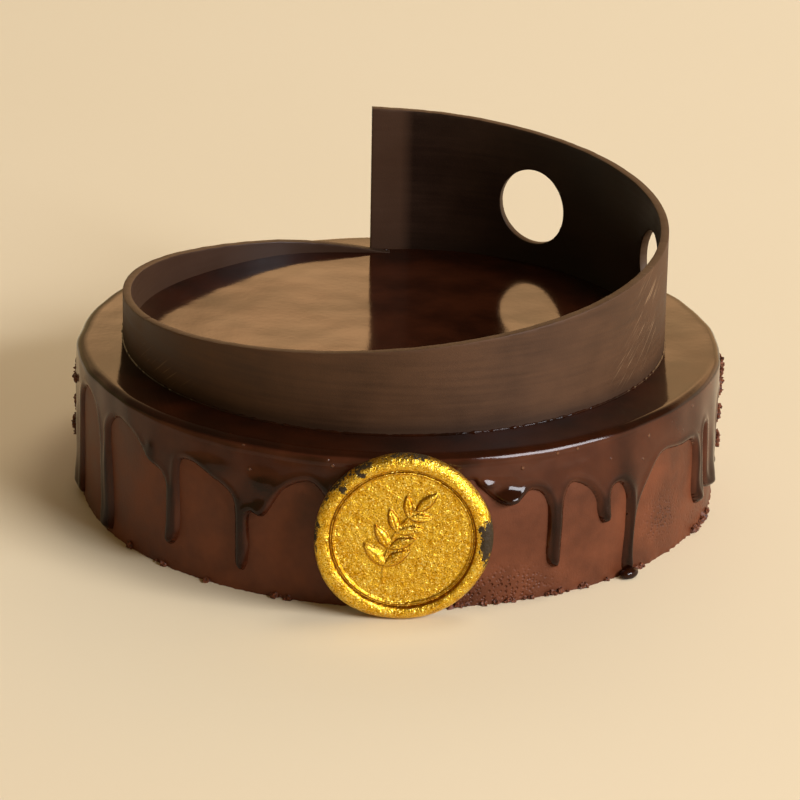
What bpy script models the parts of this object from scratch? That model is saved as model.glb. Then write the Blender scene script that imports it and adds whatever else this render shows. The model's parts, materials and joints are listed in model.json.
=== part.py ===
"""Round chocolate mousse cake with a dripping glaze, a spiral collar and a medallion.

Four pieces: the cake, the glaze poured over it, the chocolate strip curled on top, and the
medallion that leans on the front. The origin is on the cake's axis, at the level it stands on.
The front is -Y.
"""
import math
import random

import bmesh
import bpy
from mathutils import Matrix, Vector

MM = 0.001
GAP = 0.3 * MM                 # clearance between two pieces that touch
WELD = 0.01 * MM               # points closer than this are one point

# The cake: a ring mould of 20 cm, filled 4.5 cm high with its glaze.
CAKE_RADIUS = 98.9 * MM
CAKE_HEIGHT = 44.0 * MM
CAKE_EDGE = 3.0 * MM           # radius of the rounded upper edge
CAKE_SIDES = 96
EDGE_STEPS = 3                 # facets round that edge

# The glaze: a skin over the top that runs down the side and ends in drips.
TOP_GLAZE = 1.3 * MM
SIDE_GLAZE = 1.15 * MM
BEAD_GLAZE = 1.6 * MM          # the thicker bead that follows the running edge
RIM_GLAZE = 0.5 * MM           # what is left of it at the very edge
BEAD_WIDTH = 0.9 * MM
GLAZE_RADIUS = CAKE_RADIUS + GAP
GLAZE_LEVEL = CAKE_HEIGHT + GAP + TOP_GLAZE
ARCH_HEIGHT = 37.0 * MM        # height of the edge between two drips
ARCH_WAVE = 1.6 * MM
SHOULDER = 10.0 * MM           # how far the edge slopes down beside a drip
WIDEST_STEP = 5.0 * MM         # between two columns of the skin
# One row a drip: angle (degrees from +X), half width, height of its tip, and how far its
# shoulders reach to the left and to the right of it, all in mm.
FRONT_DRIPS = (
    (-172.0, 3.0, 3.0, 8.0, 6.0),
    (-153.5, 3.1, 1.6, 7.0, 3.0),
    (-132.4, 2.6, 8.0, 10.0, 3.0),
    (-117.4, 2.3, 6.4, 11.0, 3.0),
    (-113.2, 2.9, 24.8, 3.0, 6.0),
    (-98.0, 4.2, 28.5, 7.0, 7.0),
    (-84.5, 3.4, 26.0, 6.0, 6.0),
    (-70.3, 4.4, 30.5, 6.0, 5.0),
    (-61.9, 2.3, 10.2, 3.5, 4.0),
    (-51.3, 2.7, 20.2, 6.0, 3.0),
    (-44.8, 2.7, 1.4, 3.0, 13.0),
    (-22.2, 2.9, 9.1, 8.0, 3.0),
    (-13.2, 3.0, 8.4, 3.0, 8.0),
)
BACK_DRIPS = 11                # the rest, spread over the back by a seeded rule
BACK_FROM, BACK_TO = 2.0, 172.0
BACK_SEED = 7

# The collar: a strip that is tall at one end and runs out to a point at the other, stood on
# edge in one turn. Its turn is counted clockwise from the tall end, in degrees.
COLLAR_CENTRE = Vector((-1.5 * MM, 6.0 * MM, 0.0))
COLLAR_START = 96.0            # angle of the tall end from +X
COLLAR_TURN = 364.5            # the last degrees of the point are too thin to stand
COLLAR_POINT = 369.0           # where the rim would meet the glaze
COLLAR_FLAT = 8.6              # the tall end stays flat up to here
COLLAR_STEP = 3.6
COLLAR_RADIUS = 84.5 * MM      # to the outer face
COLLAR_THICKNESS = 2.6 * MM
COLLAR_TALL = 49.0 * MM
COLLAR_BOW = 0.25              # how much the rim bows upward between its ends
HOLE_RADIUS = 12.5 * MM
HOLE_TURNS = (38.8, 85.5)
HOLE_LEVELS = (65.5 * MM, 64.0 * MM)

# The medallion: a cast disc with a thick lip, two fine rings and a sprig of leaves.
SEAL_RADIUS = 25.9 * MM
SEAL_LEAN = 2.0                # degrees from upright
SEAL_CLEAR = 102.4 * MM        # from the cake's axis to the foot of its back
SEAL_ANGLE = -88.8
SEAL_FLOOR = 4.3 * MM          # thickness inside the rings
SEAL_PROFILE = (               # radius and height in mm, down from the centre of the face
    (0.0, 4.3), (19.4, 4.3), (20.0, 4.9), (20.6, 4.9), (21.1, 4.3), (21.7, 4.9),
    (23.4, 6.0), (24.9, 5.5), (25.8, 4.0), (25.9, 2.5), (25.2, 0.8), (24.2, 0.0), (0.0, 0.0),
)
SEAL_WAVES = ((2, 0.35, 0.6), (3, 0.30, 2.4), (5, 0.16, 0.9))    # lobes, size in mm, phase
STEM_LENGTH = 25.0 * MM
STEM_BOW = 3.0 * MM
STEM_RADIUS = 0.5 * MM
STEM_TILT = -24.0              # the sprig leans to the right
LEAF_PAIRS = 4
LEAF_SIZE = Vector((9.0 * MM, 3.8 * MM, 1.5 * MM))
LEAF_SPREAD = 50.0


def clear_scene():
    for leftover in list(bpy.data.objects):
        bpy.data.objects.remove(leftover)


def new_collection(name):
    collection = bpy.data.collections.new(name)
    bpy.context.scene.collection.children.link(collection)
    return collection


def new_material(name, colour, roughness, metallic=0.0):
    material = bpy.data.materials.new(name)
    material.use_nodes = True
    shader = material.node_tree.nodes["Principled BSDF"]
    shader.inputs["Base Color"].default_value = (*colour, 1.0)
    shader.inputs["Roughness"].default_value = roughness
    shader.inputs["Metallic"].default_value = metallic
    return material


def new_object(name, mesh, collection, material=None):
    piece = bpy.data.objects.new(name, mesh)
    collection.objects.link(piece)
    if material:
        mesh.materials.clear()
        mesh.materials.append(material)
    return piece


def mesh_from(name, points, faces=(), edges=()):
    mesh = bpy.data.meshes.new(name)
    mesh.from_pydata([tuple(point) for point in points], list(edges), list(faces))
    mesh.validate()
    return mesh


def evaluated_mesh(piece):
    """The piece's mesh with its modifiers applied, in its own axes."""
    bpy.context.view_layer.update()
    depsgraph = bpy.context.evaluated_depsgraph_get()
    return bpy.data.meshes.new_from_object(piece.evaluated_get(depsgraph))


def shade(mesh, sharp_above=35.0):
    mesh.shade_smooth()
    mesh.set_sharp_from_angle(angle=math.radians(sharp_above))


def at_angle(degrees, radius, height=0.0):
    angle = math.radians(degrees)
    return Vector((radius * math.cos(angle), radius * math.sin(angle), height))


def smooth_step(low, high, value):
    share = min(max((value - low) / (high - low), 0.0), 1.0)
    return share * share * (3.0 - 2.0 * share)


def turned(name, profile, sides, collection, material):
    """A solid turned round +Z from a profile of (radius, height) pairs, top to bottom."""
    points = [(radius, 0.0, height) for radius, height in profile]
    edges = [(index, index + 1) for index in range(len(points) - 1)]
    piece = new_object(name, mesh_from(name, points, edges=edges), collection, material)
    screw = piece.modifiers.new("turn", "SCREW")
    screw.steps = sides
    screw.render_steps = sides
    screw.use_merge_vertices = True
    screw.merge_threshold = WELD
    return piece


# --- cake ------------------------------------------------------------------------------------

def edge_arc(radius, steps):
    """Points of the cake's rounded upper edge, from the top to the side, offset to a radius."""
    centre_x = CAKE_RADIUS - CAKE_EDGE
    centre_z = CAKE_HEIGHT - CAKE_EDGE
    for step in range(steps + 1):
        angle = math.radians(90.0 - 90.0 * step / steps)
        yield centre_x + radius * math.cos(angle), centre_z + radius * math.sin(angle)


def make_cake(collection, material):
    profile = [(0.0, CAKE_HEIGHT)]
    profile.extend(edge_arc(CAKE_EDGE, EDGE_STEPS))
    profile.extend([(CAKE_RADIUS, 0.0), (0.0, 0.0)])
    return turned("cake", profile, CAKE_SIDES, collection, material)


# --- glaze -----------------------------------------------------------------------------------

def all_drips():
    """The front's drips and, over the back, as many again with drawn sizes."""
    draw = random.Random(BACK_SEED)
    drips = list(FRONT_DRIPS)
    spacing = (BACK_TO - BACK_FROM) / (BACK_DRIPS - 1)
    for index in range(BACK_DRIPS):
        angle = BACK_FROM + spacing * (index + draw.uniform(-0.22, 0.22))
        half_width = draw.uniform(2.2, 3.4)
        tip = draw.choice((2.2, 6.0, 11.0, 17.0, 24.0)) + draw.uniform(-0.8, 1.5)
        drips.append((angle, half_width, tip, draw.uniform(4.0, 9.0), draw.uniform(3.0, 7.0)))
    return sorted(drips)


def along_side(from_angle, to_angle):
    """Distance in metres round the glaze's side between two angles, the short way."""
    turn = (to_angle - from_angle + 180.0) % 360.0 - 180.0
    return math.radians(turn) * GLAZE_RADIUS


def drip_edge(angle, drips):
    """Height of the glaze's lower edge at an angle: arches with the drips hanging from them."""
    wave = math.sin(math.radians(3.0 * angle)) + 0.6 * math.sin(math.radians(7.0 * angle + 50.0))
    arch = ARCH_HEIGHT + ARCH_WAVE * wave / 1.6
    blend = 6.0
    total = 0.0
    for centre, half_width, tip, reach_left, reach_right in drips:
        away = along_side(centre, angle)
        if abs(away) > 45.0 * MM:
            continue
        reach = (reach_left if away < 0.0 else reach_right) * MM
        drop = arch - tip * MM
        shoulder = min(SHOULDER, 0.6 * drop)
        squareness = 4.0 + 0.8 * (drop - shoulder) / (half_width * MM)
        finger = 1.0 / (1.0 + (abs(away) / (half_width * MM)) ** squareness)
        slope = math.exp(-(abs(away) / reach) ** 1.4)
        total += ((drop - shoulder) * finger + shoulder * slope) ** blend
    return arch - total ** (1.0 / blend)


def column_angles(drips):
    """Angles of the skin's columns: close together at each drip, and never far apart."""
    marks = set()
    for centre, half_width, *_ in drips:
        for share in (0.3, 0.76, 0.94, 1.06, 1.35):
            turn = math.degrees(share * half_width * MM / GLAZE_RADIUS)
            marks.update(((centre - turn) % 360.0, (centre + turn) % 360.0))
    columns = []
    closest = 0.22
    for mark in sorted(marks):
        if not columns or mark - columns[-1] > closest:
            columns.append(mark)
    filled = []
    for index, start in enumerate(columns):
        end = columns[index + 1] if index + 1 < len(columns) else columns[0] + 360.0
        pieces = math.ceil(math.radians(end - start) * GLAZE_RADIUS / WIDEST_STEP)
        filled.extend(start + (end - start) * piece / pieces for piece in range(pieces))
    return filled


def edge_and_bead(columns, drips):
    """The running edge as (angle, height) pairs, and the same line moved in by a bead's width."""
    edge = [(angle, drip_edge(angle, drips)) for angle in columns]
    bead = []
    for index, (angle, height) in enumerate(edge):
        before = edge[index - 1]
        after = edge[(index + 1) % len(edge)]
        across = along_side(before[0], after[0])
        rise = after[1] - before[1]
        length = math.hypot(across, rise)
        turn = math.degrees(-rise / length * BEAD_WIDTH / GLAZE_RADIUS)
        bead.append((angle + turn, height + across / length * BEAD_WIDTH))
    return edge, bead


def make_glaze(collection, material):
    """The skin's inner face with its rows from the centre outward, thickened by Solidify."""
    drips = all_drips()
    columns = column_angles(drips)
    edge, bead = edge_and_bead(columns, drips)
    points = [Vector((0.0, 0.0, CAKE_HEIGHT + GAP))]
    weights = [TOP_GLAZE / BEAD_GLAZE]
    arc = list(edge_arc(CAKE_EDGE + GAP, EDGE_STEPS))
    for step, (radius, height) in enumerate(arc):
        share = step / EDGE_STEPS
        points.extend(at_angle(angle, radius, height) for angle in columns)
        thickness = TOP_GLAZE + (SIDE_GLAZE - TOP_GLAZE) * share
        weights.extend([thickness / BEAD_GLAZE] * len(columns))
    for row, weight in ((bead, 1.0), (edge, RIM_GLAZE / BEAD_GLAZE)):
        points.extend(at_angle(angle, GLAZE_RADIUS, height) for angle, height in row)
        weights.extend([weight] * len(columns))
    count = len(columns)
    faces = [(0, 1 + index, 1 + (index + 1) % count) for index in range(count)]
    rows = len(arc) + 2
    for row in range(rows - 1):
        upper = 1 + row * count
        lower = upper + count
        for index in range(count):
            other = (index + 1) % count
            faces.append((upper + index, lower + index, lower + other, upper + other))
    glaze = new_object("glaze", mesh_from("glaze", points, faces), collection, material)
    group = glaze.vertex_groups.new(name="thickness")
    for index, weight in enumerate(weights):
        group.add([index], weight, "REPLACE")
    shell = glaze.modifiers.new("thickness", "SOLIDIFY")
    shell.thickness = BEAD_GLAZE
    shell.offset = 1.0
    shell.vertex_group = group.name
    shade(glaze.data, 50.0)
    return glaze


# --- collar ----------------------------------------------------------------------------------

def collar_radius(turn):
    """Distance from the collar's axis to its outer face, at a turn from the tall end."""
    opened = -1.3 * MM * (1.0 - smooth_step(0.0, 26.0, turn))
    bulge = 1.6 * MM * math.exp(-((turn - 298.0) / 18.0) ** 2)
    tucked = -4.8 * MM * smooth_step(336.0, 364.0, turn)
    return COLLAR_RADIUS + opened + bulge + tucked


def collar_point(turn, height):
    return COLLAR_CENTRE + at_angle(COLLAR_START - turn, collar_radius(turn), height)


def collar_rim(turn):
    """Height of the collar's upper edge, which bows down from the tall end to the point."""
    share = turn / COLLAR_POINT
    return GLAZE_LEVEL + COLLAR_TALL * (1.0 - share) * (1.0 + COLLAR_BOW * share)


def hole_cutter(index, turn, level, collection):
    """A wire cylinder that goes through the collar along its radius."""
    mesh = bpy.data.meshes.new("hole_cutter")
    shape = bmesh.new()
    bmesh.ops.create_cone(shape, cap_ends=True, segments=32, radius1=HOLE_RADIUS,
                          radius2=HOLE_RADIUS, depth=8.0 * COLLAR_THICKNESS)
    shape.to_mesh(mesh)
    shape.free()
    cutter = new_object(f"hole_cutter_{index}", mesh, collection)
    cutter.location = collar_point(turn, level)
    cutter.rotation_euler = (0.0, math.radians(90.0), math.radians(COLLAR_START - turn))
    cutter.hide_render = True
    cutter.display_type = "WIRE"
    return cutter


def make_collar(collection, cutters, material):
    """The strip's outer face, thickened inward, with two round holes cut through it."""
    steps = round((COLLAR_TURN - COLLAR_FLAT) / COLLAR_STEP)
    turns = [0.0]
    turns.extend(COLLAR_FLAT + (COLLAR_TURN - COLLAR_FLAT) * step / steps
                 for step in range(steps + 1))
    foot = GLAZE_LEVEL + GAP
    points = []
    for turn in turns:
        points.extend((collar_point(turn, foot), collar_point(turn, collar_rim(turn))))
    faces = [(2 * column, 2 * column + 1, 2 * column + 3, 2 * column + 2)
             for column in range(len(turns) - 1)]
    collar = new_object("collar", mesh_from("collar", points, faces), collection, material)
    strip = collar.modifiers.new("thickness", "SOLIDIFY")
    strip.thickness = COLLAR_THICKNESS
    strip.offset = -1.0
    strip.use_even_offset = True
    for index, (turn, level) in enumerate(zip(HOLE_TURNS, HOLE_LEVELS)):
        cut = collar.modifiers.new(f"hole_{index}", "BOOLEAN")
        cut.operation = "DIFFERENCE"
        cut.object = hole_cutter(index, turn, level, cutters)
    shade(collar.data)
    return collar


# --- medallion -------------------------------------------------------------------------------

def new_leaf(name, place, heading, size, collection):
    """A low pointed mound, half sunk in the medallion's face."""
    shape = bmesh.new()
    bmesh.ops.create_uvsphere(shape, u_segments=8, v_segments=6, radius=0.5,
                              matrix=Matrix.Rotation(math.radians(90.0), 4, "Y"))
    for vertex in shape.verts:
        along = 2.0 * vertex.co.x
        vertex.co.y *= 1.0 - 0.45 * along * along
        vertex.co = Vector((vertex.co.x * size.x, vertex.co.y * size.y, vertex.co.z * size.z))
    mesh = bpy.data.meshes.new(name)
    shape.to_mesh(mesh)
    shape.free()
    leaf = new_object(name, mesh, collection)
    leaf.rotation_euler = (0.0, 0.0, heading)
    leaf.location = place + Vector((math.cos(heading), math.sin(heading), 0.0)) * size.x * 0.46
    return leaf


def stem_point(share):
    """A point on the sprig's bowed stem, from 0 at its foot to 1 at its tip."""
    along = (share - 0.55) * STEM_LENGTH
    bow = STEM_BOW * (1.0 - (2.0 * share - 1.0) ** 2)
    flat = Matrix.Rotation(math.radians(STEM_TILT), 3, "Z") @ Vector((-bow, along, 0.0))
    return flat + Vector((0.0, -1.0 * MM, SEAL_FLOOR))


def stem_heading(share):
    ahead = stem_point(share + 0.02) - stem_point(share - 0.02)
    return math.atan2(ahead.y, ahead.x)


def make_sprig(collection):
    """The stem and its leaves, loose, in a collection that the medallion then takes in."""
    curve = bpy.data.curves.new("stem", "CURVE")
    curve.dimensions = "3D"
    curve.bevel_depth = STEM_RADIUS
    curve.bevel_resolution = 2
    curve.use_fill_caps = True
    spline = curve.splines.new("POLY")
    steps = 8
    spline.points.add(steps)
    for step in range(steps + 1):
        spline.points[step].co = (*stem_point(step / steps), 1.0)
    guide = bpy.data.objects.new("stem_curve", curve)
    collection.objects.link(guide)
    stem_mesh = evaluated_mesh(guide)
    welded = bmesh.new()
    welded.from_mesh(stem_mesh)
    bmesh.ops.remove_doubles(welded, verts=welded.verts, dist=WELD)
    welded.to_mesh(stem_mesh)
    welded.free()
    bpy.data.objects.remove(guide)
    new_object("stem", stem_mesh, collection)
    for pair in range(LEAF_PAIRS):
        share = 0.2 + 0.66 * pair / (LEAF_PAIRS - 1)
        size = LEAF_SIZE * (1.0 - 0.08 * pair)
        for side in (-1.0, 1.0):
            heading = stem_heading(share) + side * math.radians(LEAF_SPREAD)
            new_leaf(f"leaf_{pair}_{side:+.0f}", stem_point(share), heading, size, collection)
    new_leaf("leaf_tip", stem_point(0.97), stem_heading(0.97), LEAF_SIZE * 0.9, collection)


def lobed(angle):
    """How far the poured edge strays from a true circle at an angle round the medallion."""
    return sum(size * MM * math.sin(lobes * angle + phase) for lobes, size, phase in SEAL_WAVES)


def make_seal(collection, material):
    """A turned disc with a wavy outline, joined with its sprig and leant on the cake."""
    profile = [(radius * MM, height * MM) for radius, height in SEAL_PROFILE]
    blank = turned("seal_blank", profile, 64, collection, material)
    mesh = evaluated_mesh(blank)
    bpy.data.objects.remove(blank)
    inner = 21.7 * MM
    for vertex in mesh.vertices:
        radius = math.hypot(vertex.co.x, vertex.co.y)
        if radius > inner:
            share = (radius - inner) / (SEAL_RADIUS - inner)
            stray = lobed(math.atan2(vertex.co.y, vertex.co.x)) * share
            vertex.co.x *= 1.0 + stray / radius
            vertex.co.y *= 1.0 + stray / radius
    disc = new_object("seal_disc", mesh, collection, material)
    sprig = new_collection("sprig")
    make_sprig(sprig)
    union = disc.modifiers.new("sprig", "BOOLEAN")
    union.operation = "UNION"
    union.operand_type = "COLLECTION"
    union.collection = sprig
    seal = new_object("seal", evaluated_mesh(disc), collection, material)
    bpy.data.objects.remove(disc)
    for loose in list(sprig.objects):
        bpy.data.objects.remove(loose)
    bpy.data.collections.remove(sprig)
    shade(seal.data)

    turn = Matrix.Rotation(math.radians(SEAL_ANGLE + 90.0), 4, "Z")
    upright = Matrix.Rotation(math.radians(90.0 - SEAL_LEAN), 4, "X")
    seal.data.transform(turn @ upright)
    lowest = min(vertex.co.z for vertex in seal.data.vertices)
    seal.location = at_angle(SEAL_ANGLE, SEAL_CLEAR - math.sin(math.radians(SEAL_LEAN)) * SEAL_RADIUS)
    seal.location.z = -lowest
    return seal


def main():
    clear_scene()
    parts = new_collection("chocolate_mousse_cake")
    cutters = new_collection("cutters")
    frosting = new_material("whipped_chocolate_frosting", (0.085, 0.030, 0.018), 0.55)
    glaze = new_material("mirror_glaze", (0.022, 0.006, 0.003), 0.08)
    chocolate = new_material("dark_chocolate", (0.030, 0.014, 0.008), 0.45)
    gold = new_material("gold_dusted_chocolate", (0.72, 0.42, 0.06), 0.35, 0.9)
    make_cake(parts, frosting)
    make_glaze(parts, glaze)
    make_collar(parts, cutters, chocolate)
    make_seal(parts, gold)


main()
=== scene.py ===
# %% [markdown]
# # A glazed chocolate mousse cake
#
# The cake is a 20 cm ring of mousse under whipped chocolate frosting. A dark glaze is poured
# over it, a strip of chocolate is curled on top as a collar, and a chocolate medallion, cast
# like a wax seal and brushed with gold dust, leans on the front. The sizes come from the packed
# solids, so each piece made here is a finer copy of one of them, in the same place.

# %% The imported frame
import json
import math
import random

import bmesh
import bpy
import numpy as np
from mathutils import Matrix, Vector, noise as noise_field
from mathutils.kdtree import KDTree

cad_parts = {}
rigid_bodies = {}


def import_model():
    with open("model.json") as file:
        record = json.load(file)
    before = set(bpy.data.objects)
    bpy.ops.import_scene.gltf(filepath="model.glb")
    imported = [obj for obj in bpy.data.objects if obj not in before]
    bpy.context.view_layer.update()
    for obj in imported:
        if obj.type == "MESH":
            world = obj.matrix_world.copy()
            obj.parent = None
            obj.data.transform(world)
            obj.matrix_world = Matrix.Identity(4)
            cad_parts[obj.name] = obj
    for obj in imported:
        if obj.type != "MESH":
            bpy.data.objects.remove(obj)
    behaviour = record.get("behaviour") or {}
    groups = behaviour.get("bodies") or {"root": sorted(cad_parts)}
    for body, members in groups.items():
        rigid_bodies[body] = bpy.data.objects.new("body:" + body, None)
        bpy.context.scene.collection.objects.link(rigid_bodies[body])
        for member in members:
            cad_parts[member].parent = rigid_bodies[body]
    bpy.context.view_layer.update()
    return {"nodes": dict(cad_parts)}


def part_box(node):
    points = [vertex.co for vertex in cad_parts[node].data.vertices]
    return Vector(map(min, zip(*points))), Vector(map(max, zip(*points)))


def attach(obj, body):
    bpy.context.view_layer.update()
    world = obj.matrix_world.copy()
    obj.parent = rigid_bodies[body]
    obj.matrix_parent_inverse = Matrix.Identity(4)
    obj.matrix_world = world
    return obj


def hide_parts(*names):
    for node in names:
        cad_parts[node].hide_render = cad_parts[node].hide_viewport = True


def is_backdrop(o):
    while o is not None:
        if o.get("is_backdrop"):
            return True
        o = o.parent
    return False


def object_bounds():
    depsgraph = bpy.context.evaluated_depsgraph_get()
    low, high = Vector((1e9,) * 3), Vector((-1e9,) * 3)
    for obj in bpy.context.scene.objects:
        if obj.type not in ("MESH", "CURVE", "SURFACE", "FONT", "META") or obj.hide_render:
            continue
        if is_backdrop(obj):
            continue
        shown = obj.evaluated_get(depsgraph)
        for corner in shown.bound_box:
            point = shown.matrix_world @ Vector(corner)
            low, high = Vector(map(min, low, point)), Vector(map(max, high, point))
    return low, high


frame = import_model()
MM = 0.001
cake_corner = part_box("cake")[1]
CAKE_RADIUS = cake_corner.x
CAKE_HEIGHT = cake_corner.z
GLAZE_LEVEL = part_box("glaze")[1].z
print(f"cake {CAKE_RADIUS / MM:.1f} mm in radius and {CAKE_HEIGHT / MM:.1f} mm high,"
      f" glaze up to {GLAZE_LEVEL / MM:.1f} mm")

# %% [markdown]
# ## The camera
#
# A long lens a little over a metre away, looking down by about 22 degrees and tilted by one.
# Its frame is square, so the lens length follows from the picture's width in pixels and the
# focal length in the same pixels.

# %% Camera
FRAME_PIXELS = 800
FOCAL_PIXELS = 4220.6
CAMERA_DISTANCE = 1323.0 * MM
CAMERA_ELEVATION = math.radians(21.70)
CAMERA_ROLL = math.radians(1.03)
LOOK_AT = Vector((0.7 * MM, 0.0, 26.6 * MM))

back = Vector((0.0, -math.cos(CAMERA_ELEVATION), math.sin(CAMERA_ELEVATION)))
level = Vector((1.0, 0.0, 0.0))
upward = level.cross(-back)
right = level * math.cos(CAMERA_ROLL) + upward * math.sin(CAMERA_ROLL)
top = upward * math.cos(CAMERA_ROLL) - level * math.sin(CAMERA_ROLL)
camera_data = bpy.data.cameras.new("camera")
camera_data.sensor_width = 36.0
camera_data.lens = camera_data.sensor_width * FOCAL_PIXELS / FRAME_PIXELS
camera = bpy.data.objects.new("camera", camera_data)
bpy.context.scene.collection.objects.link(camera)
turn = Matrix((right, top, back)).transposed().to_4x4()
camera.matrix_world = Matrix.Translation(LOOK_AT + back * CAMERA_DISTANCE) @ turn
bpy.context.scene.camera = camera
bpy.context.scene.view_settings.view_transform = "Standard"
print(f"lens {camera_data.lens:.1f} mm")

# %% [markdown]
# ## Colours and nodes
#
# Colours are written as the hex values that a paint program shows, and one function turns them
# to the linear values that a shader needs. A second small function adds any node, so a material
# reads as a short list of what feeds what. Pattern sizes are given in millimetres: a texture's
# scale is how many of its cells fit in a metre.

# %% Helpers for materials
def colour(code):
    """sRGB hex to linear red, green, blue and an alpha of one."""
    values = [int(code[index:index + 2], 16) / 255.0 for index in (1, 3, 5)]
    linear = [value / 12.92 if value <= 0.04045 else ((value + 0.055) / 1.055) ** 2.4
              for value in values]
    return (*linear, 1.0)


def cells(size_mm):
    """A texture's scale for cells of a size in millimetres."""
    return 1.0 / (size_mm * MM)


def add_node(material, kind, options=None, inputs=None):
    """Adds a node, sets its options, and sets or links its inputs."""
    node = material.node_tree.nodes.new(kind)
    for option, value in (options or {}).items():
        setattr(node, option, value)
    for socket, value in (inputs or {}).items():
        if isinstance(value, bpy.types.NodeSocket):
            material.node_tree.links.new(value, node.inputs[socket])
        else:
            node.inputs[socket].default_value = value
    return node


def new_material(name):
    """An empty material with its own place coordinates, in metres."""
    material = bpy.data.materials.new(name)
    material.use_nodes = True
    material.node_tree.nodes.clear()
    place = add_node(material, "ShaderNodeTexCoord").outputs["Object"]
    return material, place


print(f"#808080 is {colour('#808080')[0]:.3f} in linear light")

# %% [markdown]
# ## The stage
#
# A plain cream floor, wide enough to fill the view, and a pale world above it. The world is
# brighter low down behind the cake: a mirror glaze seen at a flat angle shows mostly what
# stands behind it, so this band gives the warm sheen on top. It is not part of the cake.

# %% Floor
FLOOR_HALF = 3.0


def make_floor():
    """A wide sheet of matte cream paper, faintly mottled, so nothing of it shines."""
    mesh = bpy.data.meshes.new("floor")
    shape = bmesh.new()
    bmesh.ops.create_grid(shape, x_segments=1, y_segments=1, size=FLOOR_HALF)
    shape.to_mesh(mesh)
    shape.free()
    material, place = new_material("cream_paper")
    mottle = add_node(material, "ShaderNodeTexNoise", inputs={
        "Vector": place, "Scale": cells(500.0), "Detail": 2.0}).outputs["Fac"]
    tone = add_node(material, "ShaderNodeMix", {"data_type": "RGBA"}, {
        0: mottle, 6: colour("#d8c8a6"), 7: colour("#decfb2")}).outputs[2]
    paper = add_node(material, "ShaderNodeBsdfPrincipled", inputs={
        "Base Color": tone, "Roughness": 0.85})
    add_node(material, "ShaderNodeOutputMaterial", inputs={"Surface": paper.outputs[0]})
    mesh.materials.append(material)
    floor = bpy.data.objects.new("floor", mesh)
    bpy.context.scene.collection.objects.link(floor)
    floor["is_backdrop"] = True
    return floor


make_floor()
print("floor laid")

# %% [markdown]
# ## Light
#
# A large window on the right and a little in front models the cake and throws its shadow to the
# left. A mirror glaze would show it as a hard square, so the large soft panels are kept out of
# reflections, and only one long narrow pane is seen in them. It draws the white line on the
# crest of the glaze and the glints on the gold. The world fills the shadows with warm light.

# %% World and lamps
WALL_GLOW = (3.60, 2.02, 0.92, 1.0)      # the lit wall behind, as the glaze sees it
WALL_RIGHT = (1.15, 0.96, 0.68, 1.0)     # the pale wall beside the window
ROOM_LOW = (0.36, 0.27, 0.11, 1.0)       # the rest of the room round the table
ROOM_HIGH = (0.17, 0.12, 0.065, 1.0)     # the dark ceiling
WALL_SHARES = (      # axis of the view, where the wall's light is least and full, and the least share
    ("Y", 0.45, 0.75, 0.0),              # only the wall behind the cake is lit
    ("Z", 0.60, 0.43, 0.0),              # its light ends well below the ceiling
    ("X", -0.078, -0.03, 0.20),          # the left end lies in shade
    ("X", 0.09, 0.0, 0.72),              # and the right end is a little darker than the middle
    ("Z", 0.335, 0.368, 0.42),           # a darker band runs along the wall's foot
)


def make_world():
    """The room as light and as what the glaze mirrors: a lit wall, a pale side and a dark ceiling."""
    world = bpy.data.worlds.new("studio")
    bpy.context.scene.world = world
    world.use_nodes = True
    world.node_tree.nodes.clear()
    direction = add_node(world, "ShaderNodeTexCoord").outputs["Generated"]
    parts = add_node(world, "ShaderNodeSeparateXYZ", inputs={"Vector": direction})
    ceiling = add_node(world, "ShaderNodeMapRange", inputs={
        "Value": parts.outputs["Z"], "From Min": 0.25, "From Max": 0.50}).outputs[0]
    beside = add_node(world, "ShaderNodeMapRange", inputs={
        "Value": parts.outputs["X"], "From Min": 0.30, "From Max": 0.75}).outputs[0]
    low = add_node(world, "ShaderNodeMix", {"data_type": "RGBA"}, {
        0: beside, 6: ROOM_LOW, 7: WALL_RIGHT}).outputs[2]
    room = add_node(world, "ShaderNodeMix", {"data_type": "RGBA"}, {
        0: ceiling, 6: low, 7: ROOM_HIGH}).outputs[2]
    clouds = add_node(world, "ShaderNodeTexNoise", inputs={
        "Vector": direction, "Scale": 22.0, "Detail": 2.0}).outputs["Fac"]
    wall = add_node(world, "ShaderNodeMapRange", inputs={
        "Value": clouds, "From Min": 0.3, "From Max": 0.7, "To Min": 0.86, "To Max": 1.08}).outputs[0]
    for axis, least, full, amount in WALL_SHARES:
        share = add_node(world, "ShaderNodeMapRange", inputs={
            "Value": parts.outputs[axis], "From Min": least, "From Max": full,
            "To Min": amount}).outputs[0]
        wall = add_node(world, "ShaderNodeMath", {"operation": "MULTIPLY"}, {
            0: wall, 1: share}).outputs[0]
    tone = add_node(world, "ShaderNodeMix", {"data_type": "RGBA", "clamp_factor": False}, {
        0: wall, 6: room, 7: WALL_GLOW}).outputs[2]
    glow = add_node(world, "ShaderNodeBackground", inputs={"Color": tone})
    add_node(world, "ShaderNodeOutputWorld", inputs={"Surface": glow.outputs[0]})


def add_soft_box(name, place, width, height, power, tone, aim=(0.0, 0.0, 0.03)):
    """A flat lamp, in metres and watts, turned to face the cake or another aim."""
    lamp_data = bpy.data.lights.new(name, "AREA")
    lamp_data.shape = "RECTANGLE"
    lamp_data.size = width
    lamp_data.size_y = height
    lamp_data.energy = power
    lamp_data.color = colour(tone)[:3]
    lamp = bpy.data.objects.new(name, lamp_data)
    bpy.context.scene.collection.objects.link(lamp)
    lamp.location = place
    lamp.rotation_euler = (Vector(aim) - Vector(place)).to_track_quat("-Z", "Y").to_euler()
    return lamp


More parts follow.
